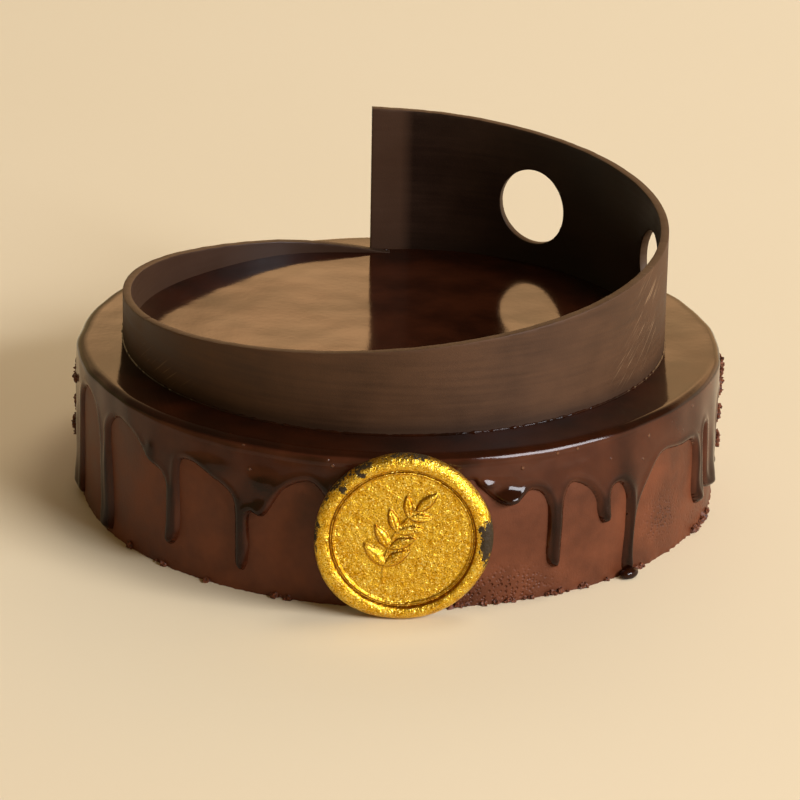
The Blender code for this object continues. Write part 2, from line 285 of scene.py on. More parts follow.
make_world()
window = add_soft_box("window", (3.0, -0.60, 1.40), 2.6, 1.9, 9.5, "#f6f4ff")
skylight = add_soft_box("skylight", (0.80, 0.28, 2.15), 0.60, 0.90, 13.0, "#fff6ea")
back_wash = add_soft_box("back_wash", (0.0, 1.15, 0.95), 1.50, 0.50, 4.4, "#e8f4ff",
                         aim=(0.0, 0.9, 0.0))
for lamp in (window, skylight, back_wash):
    lamp.visible_glossy = False
add_soft_box("bright_pane", (2.43, -1.77, 1.65), 2.00, 0.96, 156.0, "#f6f8ff")
print("stage lit")

# %% [markdown]
# ## Shapes that several pieces share
#
# The glaze and the collar are both thin sheets with a free outline: drips on one, a sloping rim
# and two holes on the other. Cutting such outlines with a Boolean would leave long thin faces
# that spoil a mirror finish. So a fine square grid is laid over the sheet instead, its points
# nearest the outline are moved onto it, and the squares outside are left out. What is left is
# even everywhere, and can then be bent round the cake.

# %% A sheet cut along an outline
def cut_sheet(across, upward_rows, outline, is_inside):
    """Grid points (flat), their distance inside the outline, and the faces between them."""
    step = upward_rows[1] - upward_rows[0]
    flat = np.stack(np.meshgrid(across, upward_rows, indexing="ij"), axis=-1).reshape(-1, 2)
    tree = KDTree(len(outline))
    for index, (x, y) in enumerate(outline):
        tree.insert((x, y, 0.0), index)
    tree.balance()
    nearest = np.empty_like(flat)
    depth = np.empty(len(flat))
    for index, (x, y) in enumerate(flat):
        found, _, away = tree.find((x, y, 0.0))
        nearest[index] = found[0], found[1]
        depth[index] = away
    depth[~is_inside(flat)] *= -1.0
    moved = np.abs(depth) < 0.5 * step
    flat[moved] = nearest[moved]
    depth[moved] = 0.0
    kept = depth >= 0.0
    rows = len(upward_rows)
    faces = []
    for column in range(len(across) - 1):
        for row in range(rows - 1):
            corner = column * rows + row
            ring = [corner, corner + rows, corner + rows + 1, corner + 1]
            ring = [point for point in ring if kept[point]]
            if len(ring) >= 3:
                faces.append(ring)
    return flat, depth, faces


def tidy_mesh(name, points, faces, weld=0.0):
    """A mesh from points and faces, without loose points."""
    shape = bmesh.new()
    corners = [shape.verts.new(point) for point in points]
    for face in faces:
        ring = [corners[index] for index in dict.fromkeys(face)]
        if len(ring) >= 3 and shape.faces.get(ring) is None:
            shape.faces.new(ring)
    if weld:
        bmesh.ops.remove_doubles(shape, verts=shape.verts, dist=weld)
    loose = [vertex for vertex in shape.verts if not vertex.link_faces]
    bmesh.ops.delete(shape, geom=loose, context="VERTS")
    mesh = bpy.data.meshes.new(name)
    shape.to_mesh(mesh)
    shape.free()
    mesh.shade_smooth()
    return mesh


def add_piece(name, mesh, slot, *replaced):
    """Puts a piece in the scene, on the cake, in place of the solids that it stands for."""
    piece = bpy.data.objects.new(name, mesh)
    bpy.context.scene.collection.objects.link(piece)
    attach(piece, "root")
    for node in replaced:
        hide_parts(node)
    return piece


def round_points(angle, radius, height):
    """Points round the cake's axis from arrays of angles in radians, radii and heights."""
    return np.stack((radius * np.cos(angle), radius * np.sin(angle), height), axis=-1)


def smooth_step(low, high, value):
    """Rises from 0 to 1 between two values, with a soft start and end."""
    share = np.clip((value - low) / (high - low), 0.0, 1.0)
    return share * share * (3.0 - 2.0 * share)


RIPPLE_GAIN = 1.6              # six waves seldom add up, so their mean is raised to about one


def ripple(angle, height, seed, waves=6, low=2, high=11, tall=0.09):
    """A slow uneven wave over the side of the cake, from about -1 to 1."""
    draw = random.Random(seed)
    total = np.zeros(np.broadcast(angle, height).shape)
    for _ in range(waves):
        lobes = draw.randint(low, high)
        rise = draw.uniform(-1.0, 1.0) * 2.0 * math.pi / tall
        total = total + np.sin(lobes * angle + rise * height + draw.uniform(0.0, 6.28))
    return RIPPLE_GAIN * total / waves


test_turns = np.linspace(0.0, 2.0 * math.pi, 90)
print(f"ripple reaches {np.abs(ripple(test_turns, test_turns * 0.0, seed=3)).max():.2f}")

# %% [markdown]
# ## The running edge of the glaze
#
# A glaze poured over a cold cake runs down in fingers and sets in arches between them. No two
# are alike, so the edge round the front is written down as a walk from point to point, the way
# a piping pattern is traced. The back repeats the same kind of finger, drawn at random from a
# seed. A smooth curve through the points gives the soft line that surface tension gives.

# %% Drips
SIDE_RADIUS = CAKE_RADIUS + 0.3 * MM
FRONT_EDGE = (     # degrees from +X and height in mm, walking round the front from left to right
    (-181.0, 37.0), (-179.0, 33.0), (-178.2, 24.0), (-177.9, 8.0), (-176.0, 1.5), (-172.0, 1.0),
    (-168.6, 1.5), (-167.7, 8.0), (-167.5, 25.0), (-167.2, 34.0), (-165.6, 38.5), (-163.0, 40.5),
    (-160.3, 40.0), (-157.3, 36.5), (-155.5, 28.5), (-154.4, 9.5), (-154.0, 2.0), (-152.6, 1.0),
    (-151.0, 1.5), (-150.1, 5.5), (-150.6, 21.5), (-151.4, 31.0), (-151.3, 35.5), (-148.8, 39.5),
    (-142.9, 38.0), (-138.0, 32.0), (-135.1, 30.0), (-133.9, 27.0), (-133.2, 9.0), (-132.4, 8.0),
    (-130.7, 12.5), (-130.7, 34.0), (-130.4, 36.0), (-127.7, 36.5), (-123.5, 33.5), (-120.8, 31.5),
    (-119.1, 28.5), (-118.2, 8.5), (-117.1, 6.5), (-116.4, 8.0), (-115.8, 14.0), (-115.6, 25.5),
    (-113.4, 25.0), (-109.5, 34.5), (-106.3, 37.5), (-104.4, 37.5), (-99.8, 29.0), (-98.0, 28.0),
    (-96.0, 29.5), (-94.0, 34.0), (-91.0, 36.5), (-88.4, 34.0), (-87.2, 29.0), (-85.0, 26.0),
    (-82.8, 29.0), (-81.4, 34.5), (-79.0, 38.5), (-76.7, 39.5), (-75.7, 37.5), (-71.2, 31.0),
    (-69.4, 31.0), (-66.3, 34.5), (-64.4, 33.5), (-63.1, 29.5), (-62.9, 11.0), (-61.7, 9.0),
    (-61.0, 9.0), (-59.4, 31.5), (-58.1, 34.5), (-54.6, 31.5), (-53.0, 27.0), (-52.8, 24.0),
    (-51.7, 19.5), (-50.4, 19.5), (-49.4, 30.0), (-47.8, 30.5), (-46.3, 27.0), (-46.1, 17.0),
    (-46.6, 2.5), (-46.0, 1.0), (-45.0, 1.0), (-43.5, 19.5), (-40.4, 28.0), (-36.7, 34.0),
    (-30.0, 33.0), (-25.4, 32.0), (-24.4, 30.0), (-24.0, 25.5), (-24.1, 14.5), (-23.2, 11.0),
    (-22.0, 9.0), (-20.7, 9.5), (-20.0, 12.0), (-20.5, 26.5), (-19.8, 33.5), (-18.9, 33.0),
    (-18.9, 18.5), (-18.2, 14.0), (-16.2, 10.5), (-13.3, 9.5), (-11.2, 11.5), (-10.4, 18.0),
    (-10.0, 28.0), (-8.0, 34.5), (-4.0, 36.5),
)
FRONT_TIPS = (     # degrees, half width and height of the fingers above, in mm
    (-172.8, 4.4, 1.0), (-152.3, 3.2, 1.0), (-132.2, 2.6, 8.2), (-117.2, 2.3, 6.7),
    (-113.8, 2.4, 24.8), (-98.0, 3.6, 28.0), (-85.0, 3.4, 26.0), (-70.2, 3.6, 30.5),
    (-61.7, 2.2, 8.9), (-51.2, 2.3, 19.1), (-45.4, 2.2, 1.0), (-22.1, 3.0, 9.0), (-14.4, 3.6, 9.4),
)
BACK_DRIPS = 11
BACK_FROM, BACK_TO = 7.0, 170.0
BACK_SEED = 7
EDGE_STEP = 0.12 * MM
EDGE_SHARES = 20               # steps of the curve from one point of the walk to the next


def draw_back_drips():
    """A walk of the same kind over the back, drawn at random, and the tips of its fingers."""
    draw = random.Random(BACK_SEED)
    spacing = (BACK_TO - BACK_FROM) / (BACK_DRIPS - 1)
    walk, tips = [], []
    for index in range(BACK_DRIPS):
        centre = BACK_FROM + spacing * (index + draw.uniform(-0.22, 0.22))
        half_width = draw.uniform(2.1, 3.1)
        half = math.degrees(half_width * MM / SIDE_RADIUS)
        tip = draw.choice((2.2, 6.0, 11.0, 17.0, 24.0)) + draw.uniform(-0.8, 1.5)
        arch = draw.uniform(35.0, 39.0)
        neck = arch - 0.45 * (arch - tip)
        tips.append((centre, half_width, tip))
        finger = ((1.1, neck), (1.0, tip + 1.1 * half_width), (0.8, tip + 0.4 * half_width),
                  (0.4, tip + 0.05 * half_width))
        walk.extend(((centre - 3.2 * half, arch), (centre - 1.7 * half, arch - 2.2)))
        walk.extend((centre - share * half, height) for share, height in finger)
        walk.append((centre, tip - 0.1))
        walk.extend((centre + share * half, height) for share, height in reversed(finger))
        walk.append((centre + 2.1 * half, arch - 2.0))
    return tuple(walk), tuple(tips)


def running_edge(walk):
    """Two laps of the walk as one smooth line of flat points, which passes through each of them."""
    corners = np.array([(degrees + lap, height) for lap in (0.0, 360.0) for degrees, height in walk])
    flat = np.column_stack((np.radians(corners[:, 0]) * SIDE_RADIUS, corners[:, 1] * MM))
    chord = np.hypot(*np.diff(flat, axis=0).T)[:, None]
    pace = np.sqrt(chord)
    slope = (flat[1:] - flat[:-1]) / pace
    bend = (slope[:-1] * pace[1:] + slope[1:] * pace[:-1]) / (pace[:-1] + pace[1:])
    start, end, step = flat[1:-2], flat[2:-1], pace[1:-1]
    curve = []
    for share in np.arange(EDGE_SHARES) / EDGE_SHARES:
        late = share * share * (3.0 - 2.0 * share)
        leaving = share * (1.0 - share) ** 2
        arriving = share * share * (share - 1.0)
        curve.append(start * (1.0 - late) + end * late
                     + step * (bend[:-1] * leaving + bend[1:] * arriving))
    line = np.stack(curve, axis=1).reshape(-1, 2)
    gone = np.concatenate(((0.0,), np.cumsum(np.hypot(*np.diff(line, axis=0).T))))
    even = np.arange(0.0, gone[-1], EDGE_STEP)
    return np.column_stack([np.interp(even, gone, line[:, axis]) for axis in (0, 1)])


back_walk, back_tips = draw_back_drips()
drip_tips = FRONT_TIPS + back_tips
edge_line = running_edge(FRONT_EDGE + back_walk)
print(f"{len(drip_tips)} drips, {len(edge_line)} points on the running edge")

# %% [markdown]
# ## Whipped chocolate frosting
#
# Frosting smoothed with a scraper is matte to satin, a warm brown with paler and darker patches,
# full of pores where air bubbles broke. The pores and grain are too fine for the mesh, so they
# are bump, while the wavy side and the ragged foot, where frosting stuck to the board, are real
# shape. One function gives the frosting's radius at any angle and height, because the glaze has
# to lie on the same surface.

# %% Frosting material
def make_frosting_material():
    """Whipped fat and chocolate, smoothed with a scraper: matte to satin, with a soft wide sheen."""
    material, place = new_material("whipped_chocolate_frosting")
    patches = add_node(material, "ShaderNodeTexNoise", inputs={
        "Vector": place, "Scale": cells(16.0), "Detail": 3.0, "Roughness": 0.6}).outputs["Fac"]
    share = add_node(material, "ShaderNodeMapRange", inputs={
        "Value": patches, "From Min": 0.35, "From Max": 0.65}).outputs[0]
    tone = add_node(material, "ShaderNodeMix", {"data_type": "RGBA"}, {
        0: share, 6: colour("#4c2512"), 7: colour("#65351d")}).outputs[2]
    grain = add_node(material, "ShaderNodeTexNoise", inputs={
        "Vector": place, "Scale": cells(0.8), "Detail": 4.0, "Roughness": 0.65}).outputs["Fac"]
    fine = add_node(material, "ShaderNodeBump", inputs={
        "Height": grain, "Strength": 0.35, "Distance": 0.22 * MM}).outputs[0]
    # Real pores are about 0.5 mm apart, and are drawn at 1.25 mm, or none would show.
    pores = add_node(material, "ShaderNodeTexVoronoi", inputs={
        "Vector": place, "Scale": cells(1.25)}).outputs["Distance"]
    pits = add_node(material, "ShaderNodeMapRange", inputs={
        "Value": pores, "From Min": 0.05, "From Max": 0.45}).outputs[0]
    bubbly = add_node(material, "ShaderNodeAttribute", {"attribute_name": "bubbly"}).outputs["Fac"]
    pitted = add_node(material, "ShaderNodeBump", inputs={
        "Height": pits, "Strength": bubbly, "Distance": 0.75 * MM, "Normal": fine}).outputs[0]
    gloss = add_node(material, "ShaderNodeMapRange", inputs={
        "Value": patches, "From Min": 0.3, "From Max": 0.7,
        "To Min": 0.40, "To Max": 0.55}).outputs[0]
    # Fat has an IOR of about 1.46. Pores swallow part of its shine, so the specular level is low.
    fat = add_node(material, "ShaderNodeBsdfPrincipled", inputs={
        "Base Color": tone, "Roughness": gloss, "IOR": 1.46, "Specular IOR Level": 0.3,
        "Normal": pitted})
    add_node(material, "ShaderNodeOutputMaterial", inputs={"Surface": fat.outputs[0]})
    return material


frosting = make_frosting_material()
print(f"{frosting.name}: {len(frosting.node_tree.nodes)} nodes")

# %% The frosting's surface
FOOT_HEIGHT = 2.4 * MM         # the torn foot reaches up to here
FOOT_RAG = 0.9 * MM
FRONT_TAPER = 2.6 * MM         # the front leans in by this much at the top
SCRAPER_WAVE = 0.16 * MM
BUBBLY_SPOTS = (               # degrees, height, reach in degrees and in mm, and depth
    (-35.5, 13.0, 5.0, 7.0, 1.0),
    (-72.0, 5.0, 9.0, 5.0, 1.0),
    (-20.0, 5.0, 8.0, 4.0, 0.5),
    (118.0, 14.0, 12.0, 8.0, 0.6),
)


def frosting_radius(angle, height):
    """The frosting's surface: nearly a true cylinder, with the scraper's slow waves."""
    front = np.clip(-np.sin(angle), 0.0, 1.0) ** 1.5
    taper = FRONT_TAPER * front * (height / CAKE_HEIGHT) ** 4
    return CAKE_RADIUS - 0.1 * MM + SCRAPER_WAVE * ripple(angle, height, seed=3) - taper


def ragged_foot(angle, height):
    """How far the frosting sticks out at its foot, most where it was pulled off at the front."""
    rag = np.zeros_like(angle)
    for index, (turn_angle, rise) in enumerate(zip(angle, height)):
        if rise < FOOT_HEIGHT:
            spot = Vector((math.cos(turn_angle), math.sin(turn_angle), rise / CAKE_RADIUS))
            lumps = noise_field.noise(spot * 60.0) + 0.5 * noise_field.noise(spot * 150.0)
            front = 0.45 + 0.55 * smooth_step(-0.2, 0.8, math.cos(turn_angle + math.radians(58.0)))
            rag[index] = max(lumps, -0.15) * front * (1.0 - rise / FOOT_HEIGHT)
    return rag * FOOT_RAG


def bubbliness(points):
    """Where air came out of the frosting and left it porous."""
    degrees = np.degrees(np.arctan2(points[:, 1], points[:, 0]))
    porous = np.zeros(len(points))
    for centre, height, reach, tall, depth in BUBBLY_SPOTS:
        away = ((degrees - centre) / reach) ** 2 + ((points[:, 2] / MM - height) / tall) ** 2
        porous = np.maximum(porous, depth * np.exp(-away))
    return porous


half_turn = np.radians(np.linspace(-180.0, 0.0, 60))
front_radii = frosting_radius(half_turn, np.full_like(half_turn, CAKE_HEIGHT)) / MM
print(f"round the top of the front the radius is {front_radii.min():.1f} to {front_radii.max():.1f} mm")

# %% The cake's body
FROSTING_STEP = 0.9 * MM       # side of the skin's squares
CAKE_EDGE = 0.9 * MM           # how far the frosting's top edge is rounded


def make_body():
    """A closed skin of even squares: the side, the rounded edge and the two flat faces."""
    count = round(2.0 * math.pi * CAKE_RADIUS / FROSTING_STEP)
    angles = np.arange(count) * 2.0 * math.pi / count
    side_top = CAKE_HEIGHT - CAKE_EDGE
    heights = np.linspace(0.0, side_top, round(side_top / FROSTING_STEP) + 1)
    rings = []
    for height in heights:
        level_height = np.full(count, height)
        radius = frosting_radius(angles, level_height) + ragged_foot(angles, level_height)
        rings.append(round_points(angles, radius, level_height))
    for bend in np.radians((45.0, 90.0)):
        radius = frosting_radius(angles, side_top) - CAKE_EDGE * (1.0 - math.cos(bend))
        height = np.full(count, side_top + CAKE_EDGE * math.sin(bend))
        rings.append(round_points(angles, radius, height))
    points = np.concatenate(rings)
    faces = [list(range(count))[::-1], [(len(rings) - 1) * count + index for index in range(count)]]
    for ring in range(len(rings) - 1):
        for index in range(count):
            other = (index + 1) % count
            low, high = ring * count, (ring + 1) * count
            faces.append([low + index, low + other, high + other, high + index])
    mesh = tidy_mesh("cake_body", points, faces)
    mesh.set_sharp_from_angle(angle=math.radians(60.0))
    bubbly = mesh.attributes.new("bubbly", "FLOAT", "POINT")
    bubbly.data.foreach_set("value", bubbliness(points).astype(np.float32))
    mesh.materials.append(frosting)
    body = add_piece("cake_body", mesh, "frosting", "cake")
    print(f"cake body: {len(mesh.polygons)} faces")
    return body


make_body()

# %% [markdown]
# ## Mirror glaze
#
# The glaze is chocolate, cream and sugar, poured warm. It sets with a surface as smooth as
# glass, so the eye sees a dark brown under a sharp reflection. It is thick and nearly black on
# the level top. Down the side it is thin, so the brown of the frosting comes through. Its
# shape carries the look: a bead follows the edge, drips are rounded ridges that swell at the
# tip, and the level top has waves a few hundredths of a millimetre high.

# %% Glaze material
def make_glaze_material():
    """Glaze poured warm and set like glass: a sharp mirror over brown, nearly black where thick."""
    material, place = new_material("mirror_glaze")
    patches = add_node(material, "ShaderNodeTexNoise", inputs={
        "Vector": place, "Scale": cells(14.0), "Detail": 3.0}).outputs["Fac"]
    share = add_node(material, "ShaderNodeMapRange", inputs={
        "Value": patches, "From Min": 0.35, "From Max": 0.65}).outputs[0]
    thin_tone = add_node(material, "ShaderNodeMix", {"data_type": "RGBA"}, {
        0: share, 6: colour("#37180c"), 7: colour("#4a2616")}).outputs[2]
    # The stored darkness is the glaze's thickness, with painted shade added on the top outside the
    # collar.
    pooled_and_shade = add_node(material, "ShaderNodeAttribute", {"attribute_name": "pooled_and_shade"}).outputs["Fac"]
    deep_tone = add_node(material, "ShaderNodeMix", {"data_type": "RGBA"}, {
        0: share, 6: colour("#190803"), 7: colour("#280e04")}).outputs[2]
    tone = add_node(material, "ShaderNodeMix", {"data_type": "RGBA"}, {
        0: pooled_and_shade, 6: thin_tone, 7: deep_tone}).outputs[2]
    swirl = add_node(material, "ShaderNodeTexNoise", inputs={
        "Vector": place, "Scale": cells(17.0), "Detail": 1.0}).outputs["Fac"]
    slow = add_node(material, "ShaderNodeBump", inputs={
        "Height": swirl, "Strength": 1.0, "Distance": 0.16 * MM}).outputs[0]
    tremble = add_node(material, "ShaderNodeTexNoise", inputs={
        "Vector": place, "Scale": cells(1.6), "Detail": 2.0}).outputs["Fac"]
    quick = add_node(material, "ShaderNodeBump", inputs={
        "Height": tremble, "Strength": 1.0, "Distance": 0.012 * MM, "Normal": slow}).outputs[0]
    # A burst air bubble leaves a pinhole of about 0.5 mm, and there is one in every 6 or 7 mm.
    pinholes = add_node(material, "ShaderNodeTexVoronoi", inputs={
        "Vector": place, "Scale": cells(6.5)}).outputs["Distance"]
    bubble = add_node(material, "ShaderNodeMapRange", inputs={
        "Value": pinholes, "From Min": 0.10, "From Max": 0.05}).outputs[0]
    thin = add_node(material, "ShaderNodeMapRange", inputs={
        "Value": pooled_and_shade, "From Min": 0.5, "From Max": 0.1}).outputs[0]
    pricked = add_node(material, "ShaderNodeBump", inputs={
        "Height": bubble, "Strength": thin, "Distance": 0.35 * MM, "Normal": quick}).outputs[0]
    seen = add_node(material, "ShaderNodeMath", {"operation": "MULTIPLY"}, {
        0: bubble, 1: thin}).outputs[0]
    tone = add_node(material, "ShaderNodeMix", {"data_type": "RGBA"}, {
        0: seen, 6: tone, 7: colour("#64402b")}).outputs[2]
    # Sugar syrup has an IOR of about 1.42. Cream in it takes off some of the shine.
    sugar = add_node(material, "ShaderNodeBsdfPrincipled", inputs={
        "Base Color": tone, "Roughness": 0.1, "IOR": 1.42, "Specular IOR Level": 0.28,
        "Normal": pricked})
    add_node(material, "ShaderNodeOutputMaterial", inputs={"Surface": sugar.outputs[0]})
    return material


mirror_glaze = make_glaze_material()
print(f"{mirror_glaze.name}: {len(mirror_glaze.node_tree.nodes)} nodes")

# %% How thick the glaze lies
SKIN = 1.15 * MM               # thickness on the side
ROUND_OVER = 2.4 * MM          # how far from the running edge it reaches its full thickness
SUNK = 0.06 * MM               # the edge runs this far into the frosting, so no gap shows
EDGE_BEAD = 0.34 * MM          # the bead that follows the running edge
EDGE_BEAD_IN, EDGE_BEAD_HALF = 1.7 * MM, 1.2 * MM
DROP_SWELL, FINGER_SWELL = 0.8 * MM, 0.7 * MM  # how much thicker a drip is, at its tip and above
FADE = 9.0 * MM                # below the crest, over which drips and bead rise out of the sheet
BULGES = (                     # degrees, height, reach in degrees and in mm, thickness in mm
    (-70.2, 33.4, 2.4, 2.0, 1.8),
    (-74.6, 38.2, 2.4, 1.3, 0.9),
    (-124.0, 38.6, 4.5, 2.6, 0.7),
    (-113.0, 36.0, 2.6, 3.2, 0.9),
    (-59.5, 40.4, 1.8, 1.6, 0.5),
    (-56.0, 40.8, 1.8, 1.3, 0.5),
    (-137.5, 36.0, 1.4, 4.0, 0.8),
    (-98.0, 38.0, 5.0, 2.4, 0.4),
)


def side_thickness(angle, height, depth):
    """The glaze's thickness on the side, from how deep inside its outline a point lies."""
    skin = SKIN * (1.0 + 0.16 * ripple(angle, height, seed=11, low=5, high=26, tall=0.03)
                   + 0.14 * ripple(angle, height, seed=21, low=12, high=44, tall=0.016))
    bead = EDGE_BEAD * np.exp(-((depth - EDGE_BEAD_IN) / EDGE_BEAD_HALF) ** 2)
    fade = 1.0 - smooth_step(CAKE_HEIGHT - FADE, CAKE_HEIGHT - CAKE_EDGE, height)
    swell = np.zeros_like(depth)
    for centre, half_width, tip in drip_tips:
        away = (np.degrees(angle) - centre + 180.0) % 360.0 - 180.0
        across = np.exp(-(np.radians(away) * SIDE_RADIUS / (half_width * MM)) ** 2)
        above = height / MM - tip
        drop = np.exp(-((above - 0.9 * half_width) / (1.3 * half_width)) ** 2)
        finger = smooth_step(0.0, 3.0, above) * (1.0 - smooth_step(22.0, 33.0, height / MM))
        swell += across * (DROP_SWELL * drop + FINGER_SWELL * finger)
    for centre, level_height, reach, tall, thick in BULGES:
        away = ((np.degrees(angle) - centre + 180.0) % 360.0 - 180.0) / reach
        rise = (height / MM - level_height) / tall
        swell += thick * MM * np.exp(-away ** 2 - rise ** 2)
    rounding = np.sqrt(1.0 - (1.0 - np.clip(depth / ROUND_OVER, 0.0, 1.0)) ** 2)
    return (skin + (bead + swell) * fade) * rounding - SUNK * (1.0 - rounding)


tip_angle, tip_width, tip_height = (np.array([value]) for value in FRONT_TIPS[2])
well_inside = np.array([ROUND_OVER])
tip_thickness = side_thickness(np.radians(tip_angle), (tip_height + tip_width) * MM, well_inside)
print(f"a drip is {tip_thickness[0] / MM:.1f} mm thick near its tip")

# %% The crest and the level top
CREST_SHARES = 0.50, 0.90      # how much of the glaze's edge is rounded, at the back and front
CREST_REACHES = 2.2 * MM, 3.0 * MM             # how far inwards it rounds over, likewise
CREST_RADIUS = 97.0 * MM
LEAN_BACK, LEAN_SLOPE = 0.2 * MM, 1.1 * MM     # how high the crest stands, and more at the front
WAVE = 0.05 * MM
NECK_STEPS, ROLL_STEPS = 3, 14                 # rings below the crest and round it
# Radii of the rings over the level top, in mm: close at the crest, where the light bends most.
TOP_RADII = (96.6, 95.6, 94.4, 93.0, 91.4, 89.4, 87.0, 84.0, 80.0, 75.0, 69.0, 62.0, 54.0, 45.0,
             35.0, 24.0, 12.0, 4.0)


def crest_height(angle):
    """The glaze stands highest at the front, where most of it ran over the edge."""
    return GLAZE_LEVEL + LEAN_BACK + LEAN_SLOPE * (1.0 - np.sin(angle))


def top_height(x, y):
    """The top leans a little, and has waves a few hundredths of a millimetre high."""
    out = np.hypot(x, y) / CREST_RADIUS
    lean = (crest_height(np.arctan2(y, x)) - GLAZE_LEVEL) * out ** 4
    return GLAZE_LEVEL + lean + WAVE * (np.sin(x / (9.0 * MM) + 1.3 * np.sin(y / (13.0 * MM)))
                                        + np.sin(y / (11.0 * MM) - 0.8 * np.sin(x / (17.0 * MM))))


def glaze_rings(turns):
    """Rings of points from the side's last row over the rounded crest to near the middle."""
    side_top = CAKE_HEIGHT - CAKE_EDGE
    far_inside = np.full_like(turns, 10.0 * MM)
    front = smooth_step(0.55, 0.90, -np.sin(turns))
    crest_share = CREST_SHARES[0] + (CREST_SHARES[1] - CREST_SHARES[0]) * front
    crest_foot = crest_height(turns) - crest_share * (crest_height(turns) - side_top)
    rings = []
    for share in np.linspace(0.0, 1.0, NECK_STEPS + 1)[1:]:
        height = side_top + (crest_foot - side_top) * share
        neck = frosting_radius(turns, height) + side_thickness(turns, height, far_inside)
        rings.append(round_points(turns, neck, height))
    wide = smooth_step(0.1, 0.7, -np.sin(turns))
    reach = CREST_REACHES[0] + (CREST_REACHES[1] - CREST_REACHES[0]) * wide
    inner = neck - reach
    crest = round_points(turns, inner, crest_foot)
    rise = top_height(crest[:, 0], crest[:, 1]) - crest_foot
    for bend in np.linspace(0.0, math.pi / 2.0, ROLL_STEPS + 1)[1:]:
        height = crest_foot + rise * math.sin(bend)
        rings.append(round_points(turns, inner + reach * math.cos(bend), height))
    for ring_radius in TOP_RADII:
        out = ring_radius * MM * inner / inner.max()
        level_ring = round_points(turns, out, crest_foot)
        level_ring[:, 2] = top_height(level_ring[:, 0], level_ring[:, 1])
        rings.append(level_ring)
    return rings


print(f"the crest stands {(crest_height(-math.pi / 2.0) - GLAZE_LEVEL) / MM:.1f} mm higher at the front")

# %% The poured glaze
GLAZE_COLUMNS = 1200
GLAZE_ROW = 0.52 * MM
LOWEST_ROW = 0.6 * MM
SEAM = math.pi / 2.0           # the sheet's two ends meet at the back
COARSE = 5                     # every fifth point of the edge is enough to tell its two sides apart
POOL_FROM, POOL_TO = 1.15 * MM, 1.75 * MM      # thicknesses between which it turns nearly black
CREST_DARK = 2.4 * MM          # how far down from the crest the glaze is thick and dark
LEVEL_TOP = CREST_RADIUS - 4.0 * MM
TOP_POOLED_AND_SHADE = 0.72, 1.00        # how dark the thick top is in the middle, and outside the collar with painted shade
TOP_SHADE_RADII = 60.0 * MM, 84.0 * MM             # radii between which the painted shade grows from one to the other


def is_glazed(spots):
    """A spot is glazed where the running edge passes above it an even number of times."""
    crossings = np.zeros(len(spots), dtype=int)
    line = edge_line[::COARSE]
    for start, end in zip(line, line[1:]):
        low, high = min(start[0], end[0]), max(start[0], end[0])
        if high < spots[0, 0] or low > spots[-1, 0] or low == high:
            continue
        spans = np.flatnonzero((spots[:, 0] > low) & (spots[:, 0] <= high))
        share = (spots[spans, 0] - start[0]) / (end[0] - start[0])
        crossings[spans] += start[1] + share * (end[1] - start[1]) > spots[spans, 1]
    return crossings % 2 == 0


def mark_pooled_and_shade(mesh):
    """Stores where the glaze is thick, which is where it looks nearly black, and painted shade on the
    level top outside the collar.
    """
    spots = np.empty(len(mesh.vertices) * 3)
    mesh.vertices.foreach_get("co", spots)
    spots = spots.reshape(-1, 3)
    angle = np.arctan2(spots[:, 1], spots[:, 0])
    out = np.hypot(spots[:, 0], spots[:, 1])
    thickness = out - frosting_radius(angle, spots[:, 2])
    below = spots[:, 2] - crest_height(angle)
    on_top = smooth_step(-0.85 * CREST_DARK, -0.55 * CREST_DARK, below)
    pooled_and_shade = np.maximum(smooth_step(POOL_FROM, POOL_TO, thickness), on_top)
    # Painted shade: the level top is darker outside the collar than in the middle.
    middle, outside = TOP_POOLED_AND_SHADE
    top_pooled_and_shade = middle + (outside - middle) * smooth_step(*TOP_SHADE_RADII, out)
    pooled_and_shade = np.where(out < LEVEL_TOP, top_pooled_and_shade, pooled_and_shade)
    store = mesh.attributes.new("pooled_and_shade", "FLOAT", "POINT")
    store.data.foreach_set("value", pooled_and_shade.astype(np.float32))


def make_glaze():
    """One sheet: the cut side with its drips, the rounded crest, and rings to the middle."""
    across = (np.arange(GLAZE_COLUMNS + 1) * 2.0 * math.pi / GLAZE_COLUMNS + SEAM) * SIDE_RADIUS
    side_top = CAKE_HEIGHT - CAKE_EDGE
    rows = np.linspace(LOWEST_ROW, side_top, round((side_top - LOWEST_ROW) / GLAZE_ROW) + 1)
    flat, depth, faces = cut_sheet(across, rows, edge_line, is_glazed)
    angle = flat[:, 0] / SIDE_RADIUS
    radius = frosting_radius(angle, flat[:, 1]) + side_thickness(angle, flat[:, 1], depth)
    side = round_points(angle, radius, flat[:, 1])
    rings = glaze_rings(across / SIDE_RADIUS)
    middle_height = float(top_height(np.zeros(1), np.zeros(1))[0])
    points = np.concatenate([side, *rings, [(0.0, 0.0, middle_height)]])
    count = len(across)
    lower = [column * len(rows) + len(rows) - 1 for column in range(count)]
    for ring in range(len(rings)):
        start = len(side) + ring * count
        upper = list(range(start, start + count))
        for column in range(count - 1):
            faces.append([lower[column], lower[column + 1], upper[column + 1], upper[column]])
        lower = upper
    middle = len(points) - 1
    faces.extend([lower[column], lower[column + 1], middle] for column in range(count - 1))
    mesh = tidy_mesh("poured_glaze", points, faces, weld=0.004 * MM)
    mark_pooled_and_shade(mesh)
    mesh.materials.append(mirror_glaze)
    print(f"glaze: {len(mesh.polygons)} faces")
    return add_piece("poured_glaze", mesh, "glaze", "glaze")


make_glaze()
